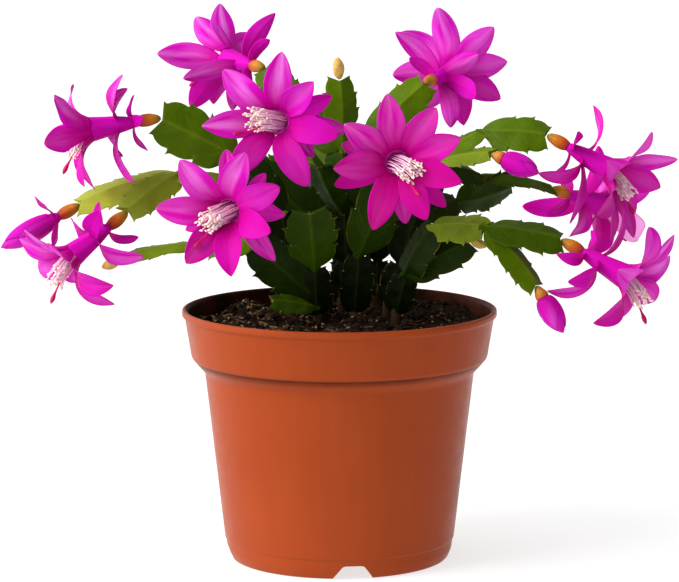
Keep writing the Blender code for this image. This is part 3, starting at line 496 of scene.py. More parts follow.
def stem_material():
    m = Shade("stem_skin", IOR=1.45, Specular_IOR_Level=0.06, Subsurface_Weight=0.06, Subsurface_Scale=0.003,
              Subsurface_Radius=(0.5, 1, 0.1))
    age, edge = m.tag("age"), m.tag("edge")
    # The ramp runs from fresh to oldest; its near-black end is painted shade for segments deep in the plant
    # and under others.
    base = m.stops(age, (0, 224, 222, 116), (0.24, 160, 164, 52), (0.42, 86, 112, 3), (0.64, 72, 98, 2),
                   (0.84, 37, 58, 1), (1, 6, 13, 0))
    base = m.flecks(base, m.noise(75, 4), 0.38, 0.68, 0.5, m.mix(0.6, base, rgb(18, 36, 2)))

    # Flecks, a paler midrib and faint side veins, all weaker on old segments and on those painted dark for
    # shade.
    young_and_lit = m.remap(age, 0.35, 0.95, 1, 0.12)
    fleck = m.remap(m.noise(650, 3), 0.5, 0.75, 0, 0.1)
    rib = m.remap(edge, 0, 0.12, 0.26, 0)
    slant = m.times(m.math("SUBTRACT", m.tag("along"), m.times(edge, 0.28)), 16)
    vein = m.remap(m.noise(1, vector=m.point(slant, edge, age)), 0.56, 0.74, 0, 0.14)
    for mask, colour in ((fleck, rgb(140, 164, 40)), (rib, rgb(140, 162, 30)), (vein, rgb(134, 158, 28))):
        base = m.mix(m.times(mask, young_and_lit), base, colour)

    rim = m.times(m.remap(edge, 0.95, 1), m.remap(m.noise(160), 0.45, 0.7))
    base = m.mix(m.times(rim, 0.6), base, rgb(150, 104, 44))
    wood = m.remap(age, 1.05, 1.25)
    base = m.mix(wood, base, rgb(60, 44, 26))
    bump = m.bump(m.noise(380, 4, 0.6), 0.25, 0.0006)
    pore = m.bump(m.noise(1900), 0.12, 0.0002, bump)
    return m.set(Base_Color=base, Roughness=m.rough(m.noise(200, 3), 0.36, 0.52), Normal=pore)


def petal_material():
    m = Shade("petal_silk", IOR=1.4, Specular_IOR_Level=0.05, Subsurface_Weight=0.25, Subsurface_Scale=0.002,
              Subsurface_Radius=(1, 0.15, 0.7))
    along, across, tone, deep = m.tag("along"), m.tag("across"), m.tag("tone"), m.tag("deep")
    base = m.stops(along, (0, 182, 2, 138), (0.3, 194, 5, 162), (0.65, 206, 16, 188), (1, 196, 8, 164))

    # Paler along the middle and towards the tip, in soft streaks that differ from petal to petal. The lighter
    # middle is a painted highlight, and it is strongest on petals whose tone is painted lighter up and to the
    # left.
    each = m.times(tone, 9)
    cloud = m.noise(1.1, 1, 0.4, vector=m.point(m.times(across, 1.5), along, each))
    band = m.remap(m.math("ABSOLUTE", across, 0), 0, 0.95, 1, 0.25)
    pale_and_highlight = m.times(m.remap(along, 0.12, 0.6), m.times(band, m.remap(cloud, 0.34, 0.56)))
    base = m.mix(m.times(pale_and_highlight, m.remap(tone, 0.15, 1)), base, rgb(238, 128, 230))
    vein = m.noise(1.6, 4, 0.6, vector=m.point(m.times(across, 4), m.times(along, 1.1), each))
    base = m.flecks(base, vein, 0.5, 0.72, 0.14, rgb(182, 2, 136))
    # Deeper crimson where the deep tag is high, which includes painted shade on petals that hang down.
    base = m.mix(m.times(deep, 0.75), base, rgb(172, 2, 104))
    # A tone above 1 paints the see-through petal light pink, in place of the light that shines through it.
    base = m.flecks(base, tone, 1.2, 2, 0.75, rgb(244, 176, 226))
    cell = m.bump(m.noise(2400), 0.1, 0.0002, m.bump(vein, 0.3, 0.0006))
    return m.set(Base_Color=base, Roughness=m.rough(m.noise(300), 0.46, 0.6), Normal=cell)


def stamen_material():
    m = Shade("stamen_thread", Roughness=0.5, Specular_IOR_Level=0.2, Subsurface_Weight=0.3,
              Subsurface_Scale=0.002)
    return m.set(Base_Color=m.stops(m.tag("along"), (0, 230, 112, 190), (0.4, 244, 172, 212),
                                    (0.8, 252, 212, 228), (0.9, 250, 222, 220), (1, 252, 230, 216)))


def style_material():
    m = Shade("style_wax", Roughness=0.35, Specular_IOR_Level=0.2)
    return m.set(Base_Color=m.stops(m.tag("along"), (0, 224, 60, 168), (0.7, 206, 10, 112), (1, 176, 0, 80)))


def ovary_material():
    m = Shade("ovary_skin", IOR=1.45, Specular_IOR_Level=0.2, Subsurface_Weight=0.15, Subsurface_Scale=0.003)
    base = m.stops(m.tag("along"), (0, 140, 112, 26), (0.35, 198, 118, 30), (0.8, 178, 72, 22),
                   (1, 164, 40, 70))
    base = m.mix(m.tag("tone"), base, rgb(224, 192, 104))
    base = m.flecks(base, m.noise(500, 3), 0.45, 0.75, 0.4, rgb(122, 62, 24))
    bump = m.bump(m.noise(900, 3), 0.2, 0.0004)
    return m.set(Base_Color=base, Roughness=m.rough(m.noise(300), 0.3, 0.46), Normal=bump)


def wool_material():
    m = Shade("areole_wool", Roughness=0.9)
    return m.set(Base_Color=m.mix(m.noise(900), rgb(108, 92, 46), rgb(150, 132, 86)))


# --- pot ---
def pot_inside():
    """(radius, height) corners of the inner wall, from the floor up."""
    return [(BODY_BOTTOM[0] - WALL, FLOOR_HEIGHT + FLOOR_THICKNESS), (SHOULDER[0] - WALL, SHOULDER[1] + 0.4),
            (BAND_BOTTOM[0] - WALL, BAND_BOTTOM[1] + 0.4), (BAND_TOP[0] - WALL, POT_HEIGHT - 1)]


def pot_outline():
    """(radius, height) points from the floor's middle up the inside, over the lip, down to the foot."""
    # Each corner has its radius, its height and how far it is rounded.
    corners = [
        (0, FLOOR_HEIGHT + FLOOR_THICKNESS, 0),
        *((r, z, 0.8) for r, z in pot_inside()),
        (RIM_RADIUS - 1.3, POT_HEIGHT, 0.6), (RIM_RADIUS - 0.15, POT_HEIGHT - 0.35, 0.5),
        (RIM_RADIUS, POT_HEIGHT - LIP_DROP + 0.5, 0.8), (BAND_TOP[0], POT_HEIGHT - LIP_DROP - 0.2, 0.4),
        (*BAND_BOTTOM, 1), (*SHOULDER, 1.2),
        (BODY_BOTTOM[0] + 0.1, 8.4, 0.25), (BODY_BOTTOM[0] - 0.35, 7.9, 0.25),
        (FOOT_RADIUS + 1.3, 4, 1), (FOOT_RADIUS, 0.8, 0.5),
        (FOOT_RADIUS - 0.7, 0, 0.3), (FOOT_RADIUS - FOOT_WALL, 0, 0.3),
        (BODY_BOTTOM[0] - FOOT_WALL - 0.4, FLOOR_HEIGHT, 0.5),
        (0, FLOOR_HEIGHT, 0),
    ]
    points = [corners[0][:2]]
    for (*back, _), (*here, rounding), (*on, _) in zip(corners, corners[1:], corners[2:]):
        here, back, on = vec(*here), vec(*back), vec(*on)
        reach = min(rounding, 0.45 * np.linalg.norm(back - here), 0.45 * np.linalg.norm(on - here))
        start, end = here + unit(back - here) * reach, here + unit(on - here) * reach
        points.extend([start, *bezier(start, here, end, 3)])
    return points + [corners[-1][:2]]


def make_pot():
    (_, floor_top), *outline, (_, floor_bottom) = pot_outline()
    body = Skin()
    rings = [level_ring(r, z, POT_SIDES) for r, z in outline]
    body.loft(rings, root=(0, 0, floor_top), tip=(0, 0, floor_bottom))
    obj = add_object("pot_lathe", body.mesh("pot_body"))
    foot, top, height = NOTCH_FOOT_WIDTH / 2 + 0.6, NOTCH_TOP_WIDTH / 2, NOTCH_HEIGHT
    half = [(foot, -2), (foot - 0.6, 0.4),
            *bezier((top + 0.35, height - 1.9), (top - 0.15, height), (top - 2.2, height), 5)]
    section = half + [(-u, z) for u, z in reversed(half)]
    for k in range(NOTCH_COUNT):
        turn = math.radians(NOTCH_TURN + 360 * k / NOTCH_COUNT)
        out, side = vec(math.cos(turn), math.sin(turn), 0), vec(-math.sin(turn), math.cos(turn), 0)
        notch = [[out * r + side * u + vec(0, 0, z) for u, z in section] for r in (36, 56)]
        hole = [ring_round(out * DRAIN_CIRCLE + vec(0, 0, z), out, side, DRAIN_RADIUS, 40) for z in (5, 12)]
        for rings in (notch, hole):
            cut = Skin()
            cut.loft(rings)
            modifier = obj.modifiers.new("cut", "BOOLEAN")
            modifier.operation, modifier.solver = "DIFFERENCE", "EXACT"
            modifier.object = add_object("cut", cut.mesh("cut"))
    final = bpy.data.meshes.new_from_object(obj.evaluated_get(bpy.context.evaluated_depsgraph_get()))
    for old in [o for o in bpy.context.scene.objects if o.name.startswith(("cut", "pot_lathe"))]:
        bpy.data.objects.remove(old)
    final.name = "pot_body"
    final.materials.clear()
    make_piece("pot_body", final, "pot", "pot", pot_material(), 32)


# --- soil ---
def soil_edge():
    _, _, (low_radius, low_height), (high_radius, high_height) = pot_inside()
    share = (SOIL_EDGE_HEIGHT - low_height) / (high_height - low_height)
    return low_radius + (high_radius - low_radius) * share - GAP


def soil_top(x, y):
    """Height of the crumbled surface."""
    height = SOIL_EDGE_HEIGHT + SOIL_MOUND * (1 - (x * x + y * y) / soil_edge() ** 2)
    for turn, phase, pitch, size in WAVES:
        height = height + size * np.sin((x * math.cos(turn) + y * math.sin(turn)) * pitch + phase)
    return height - 0.3


def strewn(margin):
    """A random place on the soil, and how far to the left it lies."""
    radius = (soil_edge() - margin) * math.sqrt(draw(0, 1))
    turn = draw(0, 2 * np.pi)
    x, y = radius * math.cos(turn), radius * math.sin(turn)
    return vec(x, y, soil_top(x, y)), 0.5 - 0.5 * x / soil_edge()


def turning(axis, angle):
    """A turn round one of the three axes, as a matrix."""
    a, b = (axis + 1) % 3, (axis + 2) % 3
    matrix = np.eye(3)
    matrix[a, a] = matrix[b, b] = math.cos(angle)
    matrix[b, a] = math.sin(angle)
    matrix[a, b] = -matrix[b, a]
    return matrix


def points_and_faces(bm):
    return np.array([v.co for v in bm.verts]), [[v.index for v in f.verts] for f in bm.faces]


def make_soil():
    rows = 64
    radii = soil_edge() * np.linspace(0.012, 1, rows)
    x, y = radii[:, None] * np.cos(circle(SOIL_SIDES)), radii[:, None] * np.sin(circle(SOIL_SIDES))
    grit = chance.normal(0, 0.22, x.shape)
    grit[-1] = 0
    top = np.stack([x, y, soil_top(x, y) + grit], -1)
    (foot, floor), low, band, _ = pot_inside()
    down = [level_ring(r - GAP - 0.1, z, SOIL_SIDES) for r, z in (band, low, (foot, floor + GAP))]
    skin = Skin()
    skin.loft(np.concatenate([top, down]))
    skin.piece("soil_bed", "soil", "soil", soil_material())

    crumbs = Skin("tone")
    bm = bmesh.new()
    bmesh.ops.create_icosphere(bm, subdivisions=1, radius=1)
    coarse = points_and_faces(bm)
    bmesh.ops.subdivide_edges(bm, edges=bm.edges, cuts=1, use_grid_fill=True)
    bm.verts.index_update()
    points, faces = points_and_faces(bm)
    fine = unit(points), faces
    bm.free()
    for number in range(CRUMB_COUNT):
        big = number < BIG_CRUMB_COUNT
        points, faces = fine if big else coarse
        size = draw(1.1, 2.1) if big else draw(0.35, 1)
        at, left = strewn(size + 0.6)
        at[2] += size * draw(-0.1, 0.45)
        spin = np.linalg.qr(chance.normal(0, 1, (3, 3)))[0]
        shape = points * draw(0.72, 1.2, (len(points), 1)) * draw(0.6, 1.15, 3) * size
        gold = not big and draw() < 0.08 + 0.52 * left ** 1.5
        tone = draw(0.8, 1) if gold else chance.beta(1.4, 3.6) * 0.8
        crumbs.add(shape @ spin + at, faces, {"tone": tone})
    crumbs.piece("soil_crumbs", None, "soil", crumb_material(), 0)

    bark = Skin("tone")
    box = np.array([(x, y, z) for x in (-1, 1) for y in (-1, 1) for z in (-1, 1)], float)
    sides = [(0, 1, 3, 2), (4, 6, 7, 5), (0, 4, 5, 1), (2, 3, 7, 6), (0, 2, 6, 4), (1, 5, 7, 3)]
    for _ in range(BARK_COUNT):
        length = draw(0.9, 3.4)
        half = vec(length, length * draw(0.14, 0.4), draw(0.1, 0.3))
        at, left = strewn(length + 1)
        at[2] += draw(0.2, 0.8)
        spin, tilt, roll = draw(0, np.pi), chance.normal(0, 0.25), chance.normal(0, 0.3)
        turned = turning(2, spin) @ turning(1, tilt) @ turning(0, roll)
        shape = box * half * draw(0.7, 1.1, (8, 3))
        bark.add(shape @ turned.T + at, sides, {"tone": draw(0.55, 0.75 + 0.3 * left)})
    bark.piece("soil_bark", None, "soil", crumb_material(), 0)


# --- stems ---
def segment_outline(teeth):
    """Half outline of a segment: (share of the length, share of the half width), neck to tip."""
    points = [vec(-0.1, 0.2), vec(-0.03, 0.23), vec(0, JOINT_WIDTH)]
    here, notches = (0, JOINT_WIDTH), []
    for s, w in teeth:
        swell = (here[0] + (s - here[0]) * 0.34, max(here[1], w) + 0.03)
        shoulder, point, notch = (s - 0.045, w - 0.02), (s + 0.036, w + 0.12), (s + 0.034, w - 0.15)
        points.extend(bezier(here, swell, shoulder, 8))
        points.extend(bezier(shoulder, (s + 0.002, w - 0.03), point, 4))
        points.extend(bezier(point, (s + 0.02, w - 0.04), notch, 4))
        notches.append(notch)
        here = notch
    for bend, end, count in (((0.86, here[1] + 0.12), (0.955, 0.66), 6), ((0.985, 0.62), (1.01, 0.7), 3),
                             ((0.972, 0.5), (0.948, 0.34), 4), ((0.93, 0.16), (RIB_END, 0), 4)):
        points.extend(bezier(here, bend, end, count))
        here = end
    return np.array(points), notches


def inner_rows(outline):
    """Rows from the rib to the outline: smooth inside, with the teeth and claws only near the edge."""
    far, wide = outline.T
    steady = np.convolve(np.pad(np.maximum.accumulate(far), 4, "edge"), np.ones(9) / 9, "valid")
    grid = np.linspace(0, 1, 101)
    kernel = np.exp(-((grid[:, None] - grid) / 0.08) ** 2)
    calm = np.interp(steady, grid, kernel @ np.interp(grid, steady, wide) / kernel.sum(1)) * 0.96
    keep = np.maximum(smooth((steady - 0.8) / 0.13), smooth((0.16 - steady) / 0.12))
    calm = calm * (1 - keep) + wide * keep
    level = steady * (1 - keep) + far * keep
    rib = np.minimum(level, RIB_END)
    part = np.clip((ACROSS - CALM_END) / (1 - CALM_END), 0, 1)
    s = (rib[:, None] + (level - rib)[:, None] * ACROSS) * (1 - part)
    s = s + (rib[:, None] + (far - rib)[:, None] * ACROSS) * part
    return s, calm[:, None] * ACROSS * (1 - part) + wide[:, None] * ACROSS * part


def add_segment(skin, start, end, width, frame_here, frame_before, age, wool):
    along, normal, side = frame_here
    _, joint_normal, joint_side = square(frame_before[0] + along, frame_before[1] + normal)
    length = np.linalg.norm(end - start)
    fold, sway, twist = draw(0.03, 0.24), draw(0.25, 0.6), draw(-0.05, 0.05)

    def spot(s, w, lift=0):
        """A point of the segment: along its length, across its half width, and off its middle plane."""
        s, w, lift = np.broadcast_arrays(s, w, lift)
        part = smooth(s / 0.25)[..., None]
        n = unit(joint_normal * (1 - part) + normal * part)
        d = unit(joint_side * (1 - part) + side * part)
        half = w * width / 2
        bow = SEGMENT_ARCH * length * 4 * s * (1 - s) * (s > 0)
        rise = bow - fold * np.abs(half) + twist * half * smooth((s - 0.2) / 0.6)
        return start + along * (s * length)[..., None] + d * half[..., None] + n * (rise + lift)[..., None]

    outlines, notches, phases = {}, {}, {}
    for hand in (1, -1):
        a, b, c, d = draw(-0.03, 0.03, 4)
        teeth = [(0.4 + a, 0.98 + b), (0.69 + c, 1 + d)]
        if draw() < 0.45 and length > 26:
            teeth = [(0.31 + a, 0.9 + b), (0.53 + c, 1.02), (0.75, 0.96 + d)]
        outlines[hand], notches[hand] = segment_outline(teeth)
        phases[hand] = draw(0, 2 * np.pi)
    count = max(len(outline) for outline in outlines.values())

    def face(hand, sign):
        """One half of one face, as rows from the rib to the edge. Extra rows stand near the neck."""
        outline = outlines[hand]
        fill = bezier(outline[2], outline[2] * 0.5 + outline[3] * 0.5, outline[3], count - len(outline) + 1)
        outline = np.vstack([outline[:3], fill[:-1], outline[3:]])
        s, w = inner_rows(outline)
        swell = np.exp(-(w * width / 2 / 1.3) ** 2)
        thick = EDGE_THICKNESS / 2 + (RIB_THICKNESS - EDGE_THICKNESS) / 2 * (1 - ACROSS) ** 1.2
        thick = thick * np.sqrt(np.maximum(1 - ACROSS ** 8, 0)) * np.ones_like(s)
        thick = thick + 0.28 * swell * (ACROSS < 1)
        pillow = 0.18 * np.sin(np.pi * ACROSS) * np.sin(s * 17 + phases[hand])
        wave = sway * ACROSS ** 2 * np.sin(2 * np.pi * 1.25 * s + phases[hand]) * smooth(s / 0.2)
        taper = np.clip(outline[:, 1] / 0.06, 0.35, 1)[:, None]
        return np.dstack([spot(s, hand * w, sign * (thick + pillow * (ACROSS < 1)) * taper + wave), s,
                          np.broadcast_to(ACROSS, s.shape)])

    high_right, high_left, low_right, low_left = (face(hand, sign) for sign in (1, -1) for hand in (1, -1))
    rows = np.concatenate([high_left[:, ::-1], high_right[:, 1:], low_right[:, -2::-1], low_left[:, 1:-1]], 1)
    skin.loft(rows[..., :3], {"edge": rows[..., 4], "age": age, "along": rows[..., 3]})
    for hand in (1, -1):
        for s, w in notches[hand]:
            add_wool(wool, spot(s + 0.005, hand * (w + 0.01)), unit(side * hand + along * 0.6), normal, 0.34)
    add_wool(wool, spot(RIB_END, 0), along, normal, 0.6)


def add_wool(wool, at, out, normal, size):
    """A woolly areole with a few short bristles."""
    out, normal, side = square(out, normal)
    rings = [ring_round(at + out * size * (h - 0.4), normal, side, size * r, 8)
             for h, r in ((-0.3, 0.5), (0.1, 0.95), (0.5, 0.85), (0.85, 0.45))]
    wool.loft(rings, tip=at + out * size * 0.62)
    for _ in range(3):
        lean = unit(out + normal * chance.normal(0, 0.5) + side * chance.normal(0, 0.5))
        reach = size * draw(1.6, 2.8)
        wool.loft(rod_rings([at, at + lean * reach * 0.6], [0.07, 0.05], 3, hint=normal + 0.01),
                  tip=at + lean * reach)


def make_stems():
    wool, material = Skin(), stem_material()
    for name, runs in STEMS.items():
        skin = Skin("edge", "age", "along")
        x, y, _ = runs[0][1][0]
        knots = 9
        wander = chance.normal(0, 0.12, (knots, 2))
        stalk = np.column_stack([wander + (x, y), np.linspace(ROOT_BOTTOM + 6, ROOT_TOP + 1, knots)])
        skin.loft(rod_rings(stalk, ROOT_RADIUS * np.linspace(1, 0.82, knots), 14, hint=FRONT),
                  {"edge": 0.5, "age": 1.3, "along": 0})
        for _, joints, segments in runs:
            points = [vec(*joint) for joint in joints]
            frames = [square(b - a, face) for a, b, (_, face, _) in zip(points, points[1:], segments)]
            points[-1] = points[-2] + (points[-1] - points[-2]) / RIB_END
            for k, (width, _, age) in enumerate(segments):
                before = frames[max(k - 1, 0)]
                add_segment(skin, points[k], points[k + 1], width, frames[k], before, age, wool)
        skin.piece(name.replace("stem", "leaves"), name, "stem", material, 60)
    wool.piece("areoles", None, "stem", wool_material())


# --- blooms ---
class Pose:
    """Where a bloom or bud sits: its foot in the notch at a segment's tip, its axis, and its up and right."""

    def __init__(self, tip, facing):
        self.axis, self.up, _ = square(facing, UP)
        self.right = np.cross(self.up, self.axis)
        before, end = next(vec(*run[1][-2:]) for runs in STEMS.values() for run in runs if run[0] == tip)
        self.foot = end + unit(end - before) * TIP_SEAT

    def out(self, clock):
        turn = np.radians(np.asarray(clock, float))[..., None]
        return self.up * np.cos(turn) + self.right * np.sin(turn)

    def at(self, station, radius=0, clock=0):
        station, radius, clock = (v.astype(float) for v in np.broadcast_arrays(station, radius, clock))
        return self.foot + self.axis * station[..., None] + self.out(clock) * radius[..., None]

    def turned(self, profile, sides, swell=None):
        """Rings (m, sides, 3) of a (station, radius) profile round the axis."""
        stations, radii = profile[:, :1], profile[:, 1:] * np.ones(sides)
        if swell:
            radii = radii * swell(circle(sides), stations)
        return self.at(stations, radii, 360 * np.arange(sides) / sides)


def folds(depth, count, twist=0, start=None, reach=1):
    """Soft ridges along a turned form: their depth, count, twist, and the stations over which they rise."""
    def swell(turn, station):
        rise = 1 if start is None else smooth((station - start) / reach)
        return 1 + depth * np.cos(count * turn + twist * station) * rise
    return swell


def add_tepal(skin, pose, whorl, petal, room=None, tone=0.3, deep=0.4, stations=30, depth=0):
    """A thin lance-shaped petal: cupped, grooved along its middle and faintly waved at its edge."""
    clock, lean, length = petal
    station, radius, start, width, most_turn = whorl
    out = pose.out(clock)
    side = np.cross(pose.axis, out)
    share = np.linspace(0, 1, stations + 1)

    def slope(x):
        return np.radians(start + (lean - start) * (1 - (1 - x) ** 2))

    middle = slope((share[1:] + share[:-1]) / 2)[:, None]
    steps = (pose.axis * np.cos(middle) + out * np.sin(middle)) * length / stations
    centre = pose.at(station + depth, radius, clock) + np.vstack([0 * out, np.cumsum(steps, 0)])
    inward = pose.axis * np.sin(slope(share))[:, None] - out * np.cos(slope(share))[:, None]
    pointed = draw(0.52, 0.72) + 0.08 * smooth((share - 0.45) / 0.55)
    half = width / 2 * np.sin(np.pi * (0.1 + 0.9 * share) ** 1.1) ** pointed
    if room is not None:
        distance = ((centre - pose.foot) * out).sum(-1)
        half = np.minimum(half, 1.02 * distance * math.tan(math.radians(min(room, 60))))
    phase, wave, twist = draw(0, 6.28), draw(0.25, 0.7), draw(-0.14, 0.14)
    cup, bend = draw(0.02, 0.32), draw(-0.6, 0.6)

    # The blade turns a little about its length, so as to show more of its face to the front.
    facing = math.atan(-(side @ vec(*FRONT)) / (inward[stations // 2] @ vec(*FRONT) or 1e-6))
    turn = (np.clip(facing, -most_turn, most_turn) * smooth(share / 0.6))[:, None]
    side, inward = side * np.cos(turn) + inward * np.sin(turn), inward * np.cos(turn) - side * np.sin(turn)

    half, x, v = half[:, None], share[:, None], COLUMNS
    rise = cup * half * v ** 2 - 0.16 * np.exp(-(v / 0.22) ** 2) * np.minimum(1, half / 2)
    ripple = np.sin(2 * np.pi * 1.6 * x + phase + 1.5 * np.sign(v))
    rise = rise + wave * v ** 2 * ripple * x ** 0.7 * (1 - x) ** 0.3
    rise = rise + twist * half * v * x
    thick = np.where(np.abs(v) > 0.99, 0, (0.24 - 0.13 * v ** 2) * (1 - 0.35 * x))
    plane = centre[:, None] + side[:, None] * (half * v + bend * x ** 2)[..., None]
    faces = [(plane + inward[:, None] * (rise + up)[..., None])[:-1] for up in (thick, -thick)]
    add_blade(skin, *faces, centre[-1] + side[-1] * bend, x[:-1], tone, deep)


def add_blade(skin, top, low, tip, along, tone, deep):
    rings = np.concatenate([top, low[:, ::-1][:, 1:-1]], 1)
    skin.loft(rings, {"along": along, "across": BOTH_FACES, "tone": tone, "deep": deep}, tip=tip)


def add_tube(skin, pose, deep):
    """The floral tube, open at its throat, with soft flutes where the petals' roots have grown together."""
    outer = curve_through([(OVARY_LENGTH - 0.3, 1.5), (OVARY_LENGTH + 0.4, 1.9), (12, 2.6), (16, 3.4),
                           (22, 4.2), (MOUTH + 0.4, 5.1)], 26)
    inner = curve_through([(MOUTH + 0.4, 4.85), (MOUTH - 0.6, 4.1), (26.2, 3.6), (THROAT, 3)], 12)
    rings = pose.turned(np.vstack([outer, inner]), TUBE_SIDES, folds(0.035, 7, 0.1, 10, 8))
    # The inner wall gets a lighter tone: painted light that lifts the shade in the throat.
    inside = (np.arange(len(rings)) >= len(outer))[:, None]
    skin.loft(rings, {"along": np.where(inside, 0.5, 0.4), "tone": np.where(inside, 0.6, 0), "across": 0.3,
                      "deep": deep})


def make_cup(name, node, pose, pairs, count, material, full, tone, swell=None, size=1, tip=None):
    """An ovary, a bud's cup or a young bud. Its colour changes over the full length, or up to its tip."""
    skin = Skin("along", "tone")
    profile = curve_through(pairs, count) * size
    along = profile[:, :1] / full if tip is None else np.linspace(0, 0.8, count)[:, None]
    skin.loft(pose.turned(profile, CUP_SIDES, swell), {"along": along, "tone": tone}, tip=tip)
    skin.piece(name, node, "bud_green", material)


def make_ovary(label, pose, material):
    make_cup("ovary_" + label, f"bloom_{label}_ovary", pose,
             [(-0.8, 0.5), (0, 1.35), (1.6, 2), (4.5, 2.6), (7.2, 2.45), (9, 1.85)], 20, material,
             OVARY_LENGTH, 0, folds(0.05, 5, 0, 0, 3))


def brush_curve(pose, tongue, share):
    """Points along the brush's middle line, and their up and side vectors."""
    share = share[:, None]
    start, bend = pose.at(THROAT_FLOOR + GAP), pose.at(MOUTH + 5)
    end = pose.at(MOUTH) + unit(tongue) * STYLE_REACH
    point = start * (1 - share) ** 2 + bend * 2 * share * (1 - share) + end * share ** 2
    tangent = (bend - start) * (1 - share) + (end - bend) * share
    _, lift, drift = square(tangent, np.broadcast_to(pose.up, tangent.shape))
    return point, lift, drift


def make_stamens(label, pose, tongue, material):
    """A broad brush of threads that fills the throat, rises over the style and ends in anthers."""
    skin = Skin("along")
    knots = 14
    broad = 0.72 + 0.28 * max(0, -pose.axis[1])
    for number in range(THREAD_COUNT):
        turn, spread = draw(0, 2 * np.pi), math.sqrt(draw(0.02, 1))
        reach = draw(0.54, 0.82) - 0.06 * spread
        share = np.linspace(BRUSH_START, reach, knots)
        fan = 2.15 + 0.05 * smooth(share / 0.4) + 0.6 * smooth((share - 0.45) / 0.4)
        rise = broad * (1.9 * spread * math.sin(turn)) * fan + 0.9 * smooth((share - 0.2) / 0.4)
        drift = broad * 2.3 * spread * math.cos(turn) * fan
        point, lift, side = brush_curve(pose, tongue, share)
        wobble = 0.14 * np.sin(share * 19 + number)
        points = point + lift * (rise + wobble)[:, None] + side * (drift + wobble)[:, None]
        thread = rod_rings(points, np.full(knots, THREAD_RADIUS), 6)
        skin.loft(thread, {"along": (share / reach * 0.8)[:, None]})
        ahead = unit(points[-1] - points[-3])
        lean = unit(ahead + chance.normal(0, 0.5, 3))
        _, normal, other = square(lean, ahead + 0.01)
        rings = [ring_round(points[-1] + ahead * 0.2 + lean * s, normal, other, r, 7)
                 for s, r in ((-0.8, 0.14), (-0.58, 0.36), (0, 0.43), (0.58, 0.36), (0.8, 0.14))]
        skin.loft(rings, {"along": 1})
    skin.piece("stamens_" + label, f"bloom_{label}_stamens", "stamen", material)


def make_style(label, pose, tongue, material):
    skin = Skin("along")
    share = np.linspace(BRUSH_START, 1, 30)
    point, lift, _ = brush_curve(pose, tongue, share)
    droop = 4 * max(0, -pose.axis[1]) ** 2
    points = point - lift * (STYLE_DROP + droop * smooth((share - 0.35) / 0.65))[:, None]
    radii = np.interp(share, [0, 0.82, 0.87, 0.91, 0.95, 0.985, 1], [0.38, 0.38, 0.6, 0.95, 0.95, 0.5, 0.14])
    skin.loft(rod_rings(points, radii, 15)[:-1], {"along": share[:-1, None]}, tip=points[-1])
    skin.piece("style_" + label, f"bloom_{label}_style", "style", material)


def petal_shades(label, pose, clock, deep):
    """Tone and depth of colour of a crown petal, with painted light and shade: paler up and to the left where
    the light falls, deeper where it hangs in shade.
    """
    across, _, up = pose.out(clock)
    tone = np.clip(0.55 - 0.25 * across + 0.35 * up + draw(-0.25, 0.25), 0, 1)
    deep = deep + 0.35 * smooth(0.5 - 0.8 * up) + draw(-0.1, 0.1)
    return PALE.get((label, clock), tone), deep


def make_blooms(petal, ovary):
    stamen, style = stamen_material(), style_material()
    for label, (facing, tongue, deep, crown, collar, skirt) in BLOOMS.items():
        pose = Pose(label, facing)
        skin = Skin("along", "across", "tone", "deep")
        add_tube(skin, pose, deep * 0.5)
        crown = sorted(crown)
        clocks = [clock for clock, _, _ in crown]
        for k, clock in enumerate(clocks):
            gaps = (clocks[(k + 1) % len(crown)] - clock) % 360, (clock - clocks[k - 1]) % 360
            shades = petal_shades(label, pose, clock, deep)
            add_tepal(skin, pose, CROWN, crown[k], max(gaps) / 2, *shades, depth=0.45 * (k % 2))
        for one in collar:
            add_tepal(skin, pose, COLLAR, one, None, draw(0, 0.8), deep + 0.15)
        for one in skirt:
            add_tepal(skin, pose, SKIRT, one, None, draw(0, 0.4), deep + 0.2, 20)
        skin.piece("petals_" + label, f"bloom_{label}_petals", "petal", petal)
        make_ovary(label, pose, ovary)
        make_stamens(label, pose, tongue, stamen)
        make_style(label, pose, tongue, style)


def add_bud(skin, pose, pairs, tip, tone, lift, tones, wraps):
    """A closed bud, and the petals that lie close over it, each (clock, start, end, spread)."""
    count = 24
    profile = curve_through(pairs, count)
    values = {"along": np.linspace(0.1, 0.9, count)[:, None], "tone": tone, "across": 0.5, "deep": BUD_DEEP}
    skin.loft(pose.turned(profile, BUD_SIDES, folds(0.05, 3, 0.22)), values, tip=pose.at(tip))
    for clock, start, end, spread in wraps:
        tone = draw(*tones)
        stations = np.linspace(start, end, 26)[:, None]
        x = (stations - start) / (end - start)
        radius = np.interp(stations, profile[:, 0], profile[:, 1]) + lift
        half = spread * np.sin(np.pi * (0.16 + 0.84 * x) ** 0.9) ** 0.7
        raised = radius + 0.1 * (1 - np.abs(COLUMNS))
        faces = [pose.at(stations, raised + thick, clock + half * COLUMNS)[:-1]
                 for thick in (0.14 * (1 - COLUMNS ** 4), -0.14 * (1 - COLUMNS ** 4))]
        tip = pose.at(stations[-1, 0], radius[-1, 0], clock)
        add_blade(skin, *faces, tip, 0.25 + 0.5 * x[:-1], tone, BUD_DEEP)


def make_closed(petal, ovary):
    """The bloom at far left, which is hardly open."""
    facing, skirt = CLOSED
    pose = Pose("left_end", facing)
    make_ovary("left_end", pose, ovary)
    skin = Skin("along", "across", "tone", "deep")
    pairs = [(8.7, 1.5), (9.4, 1.9), (12, 2.8), (16, 3.9), (24, 4.4), (30, 3.3), (35, 1.1)]
    add_bud(skin, pose, pairs, 36.5, 0.3, 0.22, (0.1, 0.6),
            ((20, 13, 34, 75), (140, 14, 35.5, 75), (255, 12, 33, 75), (80, 11, 28, 60)))
    for one in skirt:
        add_tepal(skin, pose, SKIRT, one, stations=20)
    skin.piece("petals_left_end", "bloom_left_end_petals", "petal", petal)


